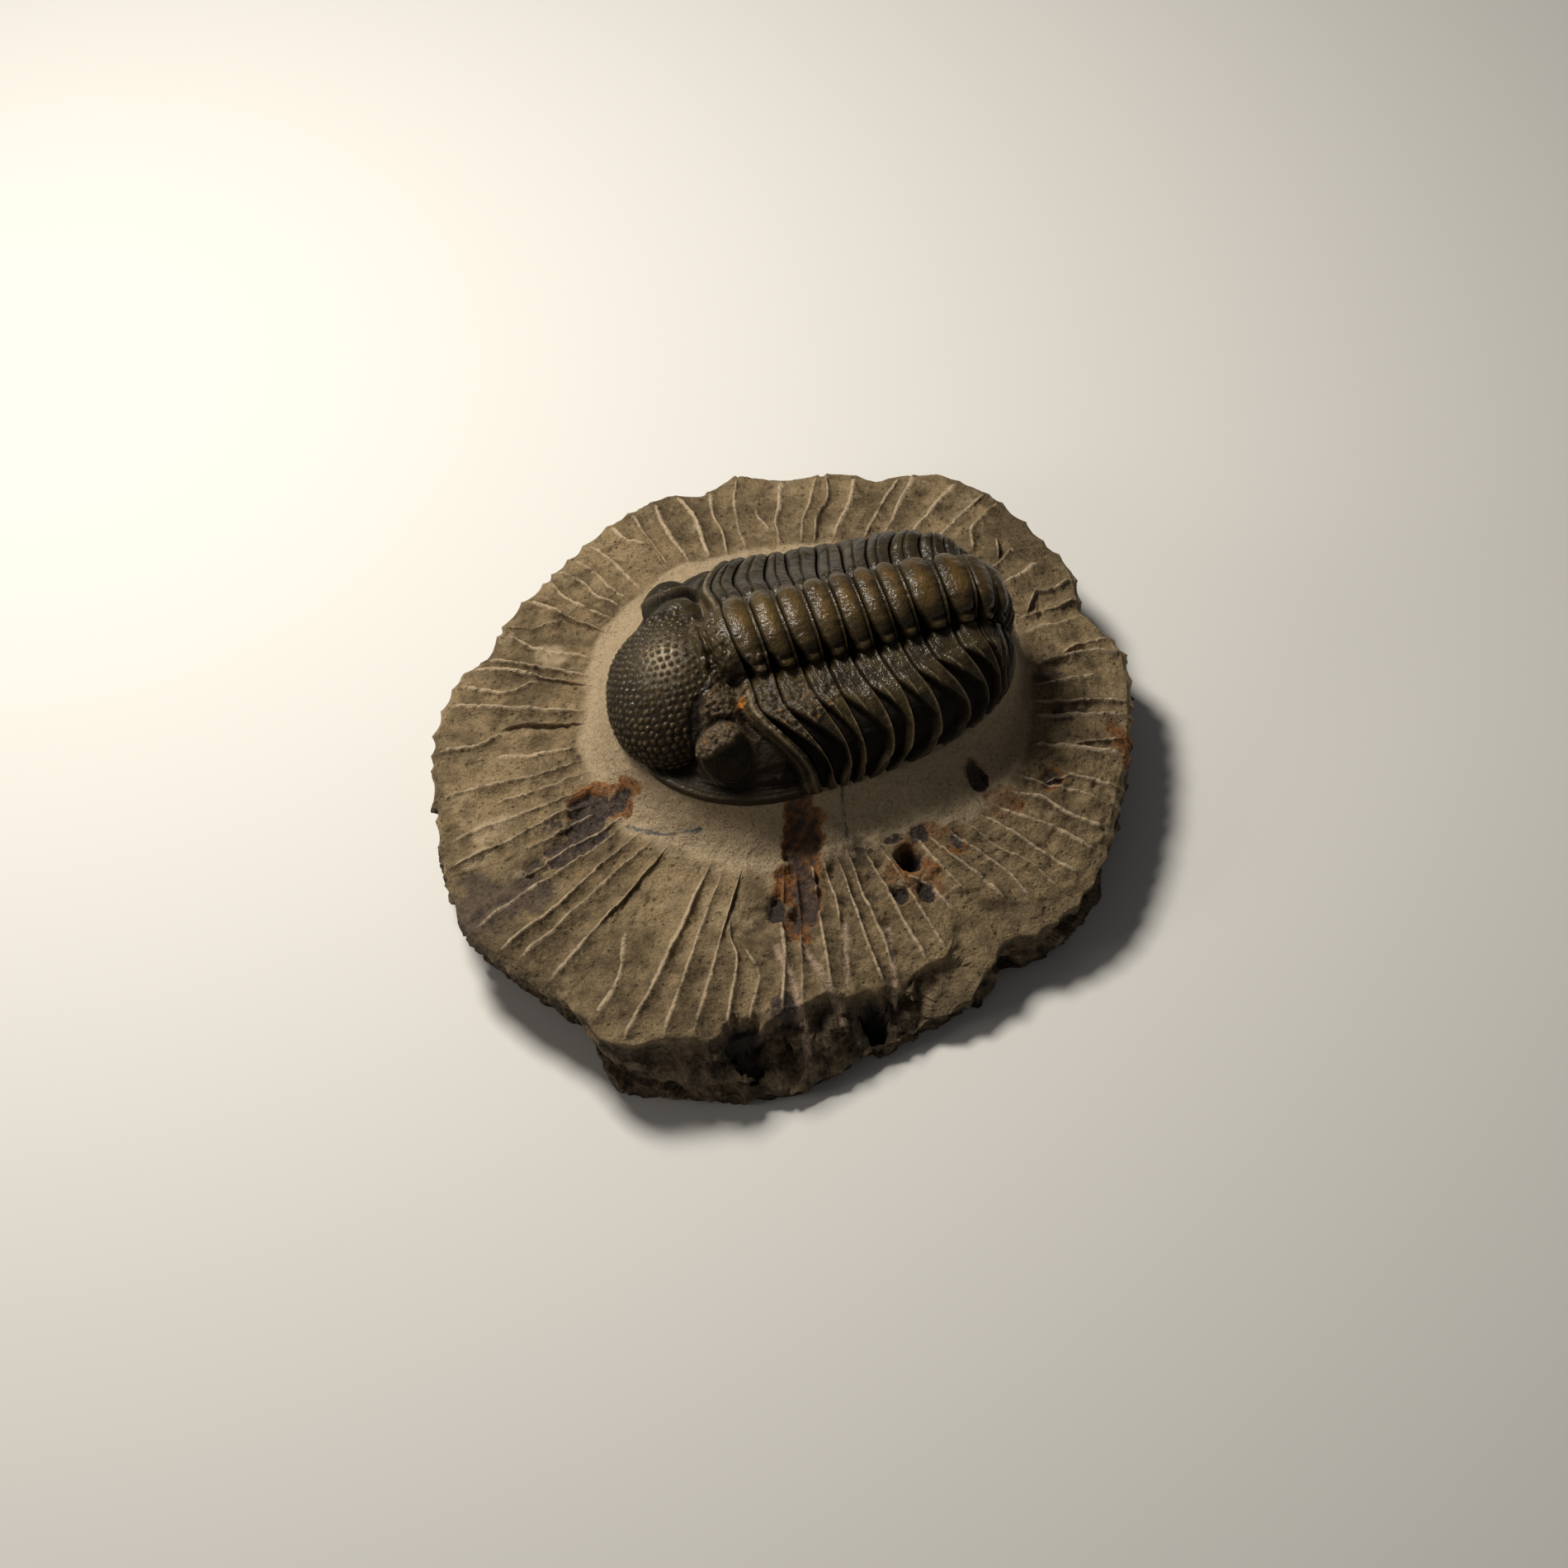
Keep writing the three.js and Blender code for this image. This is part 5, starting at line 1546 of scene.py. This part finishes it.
def facet_relief(share):
    """Height and pale dust of all columns: from crest to crest a hollow |v|^1.7, with its lowest
    place off the middle, and a thin burr on the crest, with dust lying a little wider."""
    strength = ridge_strength(share)
    ahead = np.roll(strength, -1)
    t = T_STEPS[None, :]
    low = valley_at[:, None]
    v = np.where(t < low, 1 - t / low, (t - low) / (1 - low))
    crest = grade(ramp(t, 0, 1), strength[:, None], ahead[:, None])
    from_crest = np.minimum(t, 1 - t) * 4.0
    nearest = np.where(t < 0.5, strength[:, None], ahead[:, None])
    burr = BURR_RISE * nearest * bump(from_crest, 0, BURR_WIDTH)
    height = FACET_DEPTH * facet_depth[:, None] * (crest * v**1.7 - 0.5) + burr
    return height.ravel(), (nearest * bump(from_crest, 0, DUST_WIDTH)).ravel()


print(f"{RIDGES} ridges, {np.sum(ridge_from > 0)} of them branch off another")

# %% [markdown]
# ### Pits, stains and seams
# Iron has rusted in the rock's pits, and thin seams of spar cross its front. The large ones lie
# where the photograph has them. Each is an ellipse or a line seen from above, with a limit that
# lumps make ragged. They could be painted, but a formula also sinks the floor of an open pit.

# %% Places of pits, stains, cracks and seams, in millimetres
# Each row: x, y, radius along, radius across, turn in degrees, depth, how orange, how dark, and
# how far it is an open hole, which is painted dark as its shadow
PITS = np.array([
    # The stained patch left of the head
    (-30.1, -5.2, 3.3, 2.4, -5, 0.9, 0, 0.85, 0),
    (-29.5, -4.9, 3.9, 2.9, -5, 0, 0.8, 0, 0),
    (-31.4, -8.6, 4.4, 2, 12, 0.6, 0, 0.8, 0),
    (-26.2, -6.4, 1.6, 1.5, 0, 0.6, 0.5, 0.9, 0),
    (-25.9, -6.6, 2.3, 2.5, 0, 0, 0.8, 0, 0),
    (-34.5, -11.6, 6.4, 2.4, 12, 0.45, 0.15, 0.75, 0),
    (-36.5, -7.3, 1.9, 1.1, 10, 0.3, 0, 0.55, 0),
    (-40.2, -13.3, 1.9, 2, 0, 0.8, 0, 0.6, 0),
    (-36.3, -13, 0.8, 0.8, 0, 0, 0.9, 0, 0),
    (-26.9, -8.2, 1.1, 0.8, 0, 0, 0.9, 0, 0),
    # The trench in front of the head
    (-2.1, -16.4, 2.6, 2.4, 0, 0.3, 0.7, 0.45, 0),
    (-3.6, -21.5, 4.4, 3, 73, 1, 0.8, 0.52, 0),
    (-7.4, -27.3, 3.6, 1.9, 73, 1, 1, 0.25, 0),
    (-5.7, -30.8, 4.8, 2.3, 70, 1.2, 0.6, 0.6, 0),
    (-10, -30.7, 2.1, 1.4, 73, 1.5, 0.2, 1, 0.7),
    (-8.2, -33.6, 2.4, 2.2, 0, 0.9, 0.9, 0.3, 0),
    (-7.4, -35.6, 1.3, 1.3, 0, 0.5, 0.7, 0, 0),
    # The hole in the near field and the pits about it
    (10.6, -27.2, 2.2, 2, -17, 3.4, 0.3, 1, 1),
    (12.7, -24.3, 1.5, 1.4, 0, 0.3, 0, 0.8, 0),
    (9.2, -23.9, 1.8, 1, 0, 0.2, 0, 0.7, 0),
    (7.7, -31.9, 1.5, 1.3, 0, 0.9, 0.4, 0.9, 0.6),
    (11.3, -32.8, 1.5, 1.7, 0, 0.9, 0.4, 0.9, 0.6),
    (10.2, -30.6, 4.4, 3.8, 0, 0, 0.5, 0, 0),
    (13.5, -24.8, 5.5, 1.6, 0, 0, 0.45, 0, 0),
    (17.1, -26.4, 2.2, 2.4, 0, 0, 0.55, 0, 0),
    (18, -26.3, 0.8, 1.4, 0, 0.4, 0, 0.8, 0),
    # A broad hollow, darkened with painted shade
    (2.7, -27.6, 4.2, 5, -17, 0.7, 0, 0.3, 0),
    (4.1, -24.8, 1.3, 2.3, 73, 0.3, 0.2, 0.5, 0),
    (3.8, -28.3, 1.3, 1.3, 0, 0.3, 0.2, 0.5, 0),
    # The pedestal's wall, the right field and the rim
    (23.6, -17.8, 1.5, 2, 10, 0.8, 0.55, 1, 0),
    (26.5, -22, 2.8, 2.4, 20, 0, 0.45, 0, 0),
    (34.4, -19.8, 2.1, 1.7, 20, 0.5, 0.7, 0.75, 0),
    # Two shallow ovals darkened with painted shade at the pedestal's right foot
    (40, -2, 3, 1.5, 10, 0.2, 0.1, 0.5, 0),
    (41, -9, 3, 1.5, 0, 0.2, 0.1, 0.55, 0),
    (47.6, -17.6, 2, 5, 12, -0.9, 0.8, 0.2, 0),
    (-0.9, -47.6, 1.8, 2.5, 0, 2.8, 0, 0.8, 1),
    (-20.2, -48.2, 3, 2.6, 0, 2.6, 0, 0.6, 0.8),
    (-14, -45.5, 2.6, 2, 0, 0, 0, 0.7, 0),
])
# Purple stains and bare cream patches: x, y, radius along, radius across, turn
PURPLE_STAINS = ((-41.9, -17.5, 3.0, 2.5, 0), (-49.5, -17.4, 5.4, 4.8, 0))
CREAM_PATCHES = ((-45.0, -4.4, 3.7, 1.6, 15), (-47.5, -9.0, 2.4, 1.6, 10), (-28.5, 23.3, 2.8, 2.7, 0))
# Each row: start x and y, end x and y, half width, depth
CRACKS = np.array([
    (3.4, -17.6, 3.0, -22.0, 0.13, 0.0),
    (3.0, -22.0, 2.4, -24.6, 0.13, 0.0),
    (-26.2, -11.0, -21.6, -14.4, 0.13, 0.0),
    (-21.6, -14.4, -17.0, -16.2, 0.13, 0.0),
])
SEAMS = np.array([
    (-11.9, -36.8, -11.4, -42.3, 0.45, 0.35),
    (-11.4, -42.3, -11.6, -51.2, 0.45, 0.35),
    (-8.3, -36.9, -6.9, -42.0, 0.45, 0.35),
    (-6.9, -42.0, -5.8, -47.4, 0.45, 0.35),
    (-1.2, -34.0, -3.9, -43.9, 0.25, 0.15),
    (4.7, -36.1, 2.4, -46.5, 0.25, 0.15),
])
print(f"{len(PITS)} pits and stains, {len(CRACKS)} cracks, {len(SEAMS)} seams")


# %% Find pits, stains and lines
def blot(points, x, y, along, across, turn):
    """How far out points lie in an ellipse seen from above: 0 in its middle, 1 on its limit."""
    cosine, sine = math.cos(math.radians(turn)), math.sin(math.radians(turn))
    dx, dy = points[..., 0] - x, points[..., 1] - y
    return np.hypot((dx * cosine + dy * sine) / along, (dy * cosine - dx * sine) / across)


def pits_at(points):
    """Depth of the pits at points of the rock, and how orange, dark and open it is there. A pit's
    floor is 1 inside its ellipse, and its orange runs out a little further."""
    depth, orange, dark, hole_shade = np.zeros((4, *points.shape[:-1]))
    ragged = 0.30 * rough(points, 2.2, 101)
    for *place, deep, rusty, black_stain_and_shade, empty in PITS:
        away = blot(points, *place) + ragged
        inside = fade(away, 0.75, 1.08)
        depth = depth + deep * inside if deep < 0 else np.maximum(depth, deep * inside)
        orange = np.maximum(orange, rusty * fade(away, 0.85, 1.30))
        dark = np.maximum(dark, black_stain_and_shade * inside)
        # painted shadow in open holes
        hole_shade = np.maximum(hole_shade, empty * fade(away, 0.55, 0.85))
    return depth, orange, dark, hole_shade


def stains_at(points, table, seed, soft):
    """1 inside the ellipses of a table, with ragged limits of a given softness."""
    ragged = 0.45 * rough(points, 3.0, seed)
    away = np.min([blot(points, *row) for row in table], axis=0) + ragged
    return fade(away, 1 - soft, 1 + soft)


def lines_at(points, table):
    """1 on each straight line of the table, made to waver, and the depth it is cut to."""
    waver = 0.21 * rough(points, 2.4, 161)
    on_any, depth = np.zeros((2, *points.shape[:-1]))
    for x0, y0, x1, y1, half, deep in table:
        dx, dy = x1 - x0, y1 - y0
        px, py = points[..., 0] - x0, points[..., 1] - y0
        along = np.clip((px * dx + py * dy) / (dx * dx + dy * dy), 0, 1)
        away = np.hypot(px - along * dx, py - along * dy) + waver
        on = fade(np.abs(away), half * 0.6, half * 1.6)
        on_any, depth = np.maximum(on_any, on), np.maximum(depth, deep * on)
    return on_any, depth


deepest = PITS[np.argmax(PITS[:, 5])]
print("deepest pit, mm:", pits_at(np.array([(*deepest[:2], FOOT_Z)]))[0])

# %% Rings inside the shell and down the pedestal
FILL_SHARES = (0.3, 0.6, 0.8, 0.92, 0.99)
FILL_HEIGHT = 0.4
WALL_SHARES = np.concatenate([[0.0, 0.02, 0.05], np.linspace(0.09, 1, 24)])
WALL_START = 0.05
WALL_POWER = 1.8
WALL_LUMPS = ((0.22, 5.0, 111), (0.10, 0.9, 115, 2))


def fill_height(x):
    """Top of the rock inside the shell on the axis, well below the plates."""
    return SHOULDER_Z + FILL_HEIGHT * np.interp(x, LINES[:, 0], LINES[:, 1])


def fill_ring(share):
    """Rock inside the shell; it falls off as 1 - s^2 towards the shell's edge."""
    degrees = ridge_angles(0)
    points = polar(degrees, margin_radius(degrees, 0) * share, 0)
    points[:, 2] = grade(share**2, fill_height(points[:, 0]), SHOULDER_Z)
    return points


def wall_ring(t):
    """The pedestal's sandblasted side: z = foot + height (1 - t)^1.8, t the share outward."""
    degrees = ridge_angles(0)
    r = margin_radius(degrees, grade(t, WALL_START, around(FOOT, degrees)))
    points = polar(degrees, r, grade((1 - t) ** WALL_POWER, FOOT_Z, SHOULDER_Z))
    points[:, 2] += min(1.0, t * 8) * layered(rough, points, WALL_LUMPS)
    return points


print(f"top of the rock under the shell: {fill_height(0):.1f} mm")

# %% Rings of the tooled field
FIELD_SHARES = np.linspace(0, 1, 63)[1:]
FIELD_LUMPS = ((0.22, 3.2, 121), (0.10, 0.9, 125, 2))
FIELD_CHIPS = ((0.32, 2.8, 127), (0.20, 1.2, 128))
CREST_WAVER = 1.3


def crest_radius(degrees):
    """Radius of the rim's crest, which wavers where the rock is broken."""
    place = (degrees / 5.0)[:, None] * (1, 0, 0)
    waver = CREST_WAVER * around(BREAK, degrees, BROKEN) * rough(place, 1.0, 171, 2)
    return around(RIM, degrees) + waver


def tooled_relief(points, share):
    """Height of the chiselled field over a smooth one, and the dust on its ridges."""
    height, dust = facet_relief(share)
    return height + layered(rough, points, FIELD_LUMPS) + layered(chips, points, FIELD_CHIPS), dust


def tooled_ring(share):
    """The field of chisel ridges, sloping gently down to the rim."""
    degrees = ridge_angles(share)
    foot = margin_radius(degrees, around(FOOT, degrees))
    crest_z = around(BREAK, degrees, CREST_Z)
    points = polar(degrees, grade(share, foot, crest_radius(degrees)), grade(share, FOOT_Z, crest_z))
    height, dust = tooled_relief(points, share)
    fade_in = min(1.0, share * 6)
    points[:, 2] += height * fade_in
    uneven = np.clip(0.95 + 0.5 * rough(points, 3.0, 123, 2), 0.3, 1)
    return points, dust * uneven * fade_in


print(len(tooled_ring(0.5)[0]), "points in each ring")

# %% [markdown]
# ### The broken front
# Most of the rim is a rounded lip with a scallop for each facet, but along the front the slab was
# broken off, and the break shows flat, tilted faces. Fracture tools could split a block into
# such faces, but the chips here are plain heights, so the grid stays whole.

# %% Rings over the rim and down the side
LIP_STEPS = np.linspace(0, 1, 16)[1:]
LIP_LUMPS = ((1.2, 6.0, 131),)
LIP_CHIPS = ((1.9, 4.5, 133), (0.8, 1.8, 135))
SCALLOP = 0.6
SIDE_DROPS = np.linspace(0, 1, 19)[1:]
SIDE_LUMPS = ((0.9, 5.0, 141),)
SIDE_CHIPS = ((1.8, 4.5, 143), (0.7, 1.8, 145))
SIDE_INSET = 0.6


def scallops():
    """How far the rim runs out: furthest at a ridge, least in the middle of a facet."""
    t = np.tile(T_STEPS, RIDGES)
    return SCALLOP * (np.abs(2 * t - 1) ** 1.7 - 0.4) * np.repeat(facet_depth, len(T_STEPS))


def break_ring(step):
    """From the crest down to the outer edge: a rounded lip on most of the slab, a rough broken
    face along the front."""
    degrees = ridge_angles(1)
    out = around(BREAK, degrees, EDGE_OUT)
    r = grade(step**1.15, crest_radius(degrees), around(RIM, degrees) + out + scallops())
    z = grade(step**0.85, around(BREAK, degrees, CREST_Z), around(BREAK, degrees, EDGE_Z))
    points = polar(degrees, r, z)
    wild = grade(around(BREAK, degrees, BROKEN), 0.12, 1) * np.clip(out / 4, 0.3, 1)
    wild = wild * math.sin(math.pi * min(step, 0.85))
    bite = (layered(rough, points, LIP_LUMPS) + layered(chips, points, LIP_CHIPS)) * wild
    points[:, 2] += tooled_relief(points, 1.0)[0] * (1 - step) ** 2
    return points + polar(degrees, bite, 0.4 * bite)


def side_ring(step):
    """The slab's side, down to the flat underside, undercut at the near left."""
    degrees = ridge_angles(1)
    turn = degrees % 360
    edge_r = around(RIM, degrees) + around(BREAK, degrees, EDGE_OUT) + scallops() * (1 - step)
    cut = UNDERCUT * ramp(turn, 186, 200) * fade(turn, 222, 234)
    edge_z = around(BREAK, degrees, EDGE_Z)
    points = polar(degrees, edge_r - (WALL_LEAN + cut) * step, edge_z * (1 - step))
    bite = layered(rough, points, SIDE_LUMPS) + layered(chips, points, SIDE_CHIPS) - SIDE_INSET
    return points + polar(degrees, bite * math.sin(math.pi * min(step, 0.8)), 0)


print(f"scallops: {scallops().min():.2f} to {scallops().max():.2f} mm")

# %% Colour marks of the rock
# Number of the first ring of each zone, counted from the middle
FIRST_WALL = len(FILL_SHARES)
FIRST_FIELD = FIRST_WALL + len(WALL_SHARES)
FIRST_LIP = FIRST_FIELD + len(FIELD_SHARES)
FIRST_SIDE = FIRST_LIP + len(LIP_STEPS)
print("first rings of wall, field, lip and side:", FIRST_WALL, FIRST_FIELD, FIRST_LIP, FIRST_SIDE)


def rock_marks(rings, dust):
    """From 0 to 1: ridges, sand on the wall, broken faces painted dark as shade, iron stains and a
    little painted shade, painted shadow in holes, cracks, seams, and purple and cream patches. Also
    how deep the pits and seams go."""
    depth, orange, dark, hole_shade = pits_at(rings)
    veins, _ = lines_at(rings, CRACKS)
    seams, seam_depth = lines_at(rings, SEAMS)
    depth = np.where(depth == 0, seam_depth, depth)
    turn = np.degrees(np.arctan2(rings[..., 1], rings[..., 0])) % 360
    rows = np.arange(len(rings))[:, None]
    on_lip = ramp(rows - FIRST_LIP + 1.5 * rough(rings, 4.0, 157), -1, 2)
    ridge = np.zeros(turn.shape)
    ridge[FIRST_FIELD:FIRST_LIP] = dust
    marks = {
        "ridge": ridge * (1 - 0.85 * ramp(depth, 0.65, 1.0)),
        "sand": fade(rows - FIRST_FIELD + 2.5 * rough(rings, 3.0, 155), -1, 4),
        # where the rock is broken, and the whole side; the material paints these dark as shade
        "broken": np.where(rows < FIRST_SIDE, around(BREAK, turn, BROKEN) * on_lip, 1.0),
        "orange": orange * (rows < FIRST_SIDE),
        # black iron stains, and painted shade in a few places
        "dark": dark,
        # painted shadow in open holes
        "hole_shade": hole_shade,
        "vein": veins,
        "seam": seams * fade(orange, 0.2, 0.5),
        "purple": 0.90 * stains_at(rings, PURPLE_STAINS, 151, 0.07),
        "cream": 0.60 * stains_at(rings, CREAM_PATCHES, 153, 0.30),
    }
    return marks, depth


# %% Build the rock
RINGS_UNDER_SHELL = 3
FLAT_FROM = 0.3


def rock_rings():
    """All rings as one array, and the dust on the ridges of the field."""
    field, dust = zip(*[tooled_ring(share) for share in FIELD_SHARES])
    rings = [*map(fill_ring, FILL_SHARES), *map(wall_ring, WALL_SHARES), *field,
             *map(break_ring, LIP_STEPS), *map(side_ring, SIDE_DROPS)]
    return np.stack(rings), np.stack(dust)


def rock_faces(rows, columns):
    """Quads between the rings, and triangles to a point at the top and one under the slab."""
    count = rows * columns
    index = np.arange(count).reshape(rows, columns)
    ahead = np.roll(index, -1, axis=1)
    quads = np.stack([index[:-1], index[1:], ahead[1:], ahead[:-1]], axis=-1).reshape(-1, 4)
    peak = np.stack([np.full(columns, count), index[0], ahead[0]], axis=-1)
    base = np.stack([np.full(columns, count + 1), ahead[-1], index[-1]], axis=-1)
    return [*quads.tolist(), *peak.tolist(), *base.tolist()]


def rock():
    """The rings with pits and seams sunk into what the shell leaves bare, closed above and below.
    Broken faces are shaded flat."""
    rings, dust = rock_rings()
    marks, depth = rock_marks(rings, dust)
    bare = slice(FIRST_WALL + RINGS_UNDER_SHELL, FIRST_SIDE)
    rings[bare, :, 2] -= depth[bare]
    rows, columns = rings.shape[:2]
    points = np.concatenate([rings.reshape(-1, 3), [(0, 0, fill_height(0))], [(0, 0, 0)]])
    piece = add_piece("matrix", points, rock_faces(rows, columns), stone, "matrix", marks)
    rounded = marks["broken"][:-1].ravel() < FLAT_FROM
    smooth = np.concatenate([rounded, np.ones(2 * columns, dtype=bool)])
    piece.data.polygons.foreach_set("use_smooth", smooth)


rock()

# %% Compare the boxes
boxes = {"cad": [list(corner) for corner in cad_box],
         "visual": [list(corner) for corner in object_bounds()]}
for name, box in boxes.items():
    print(name, "box, mm:", box_in_mm(box))
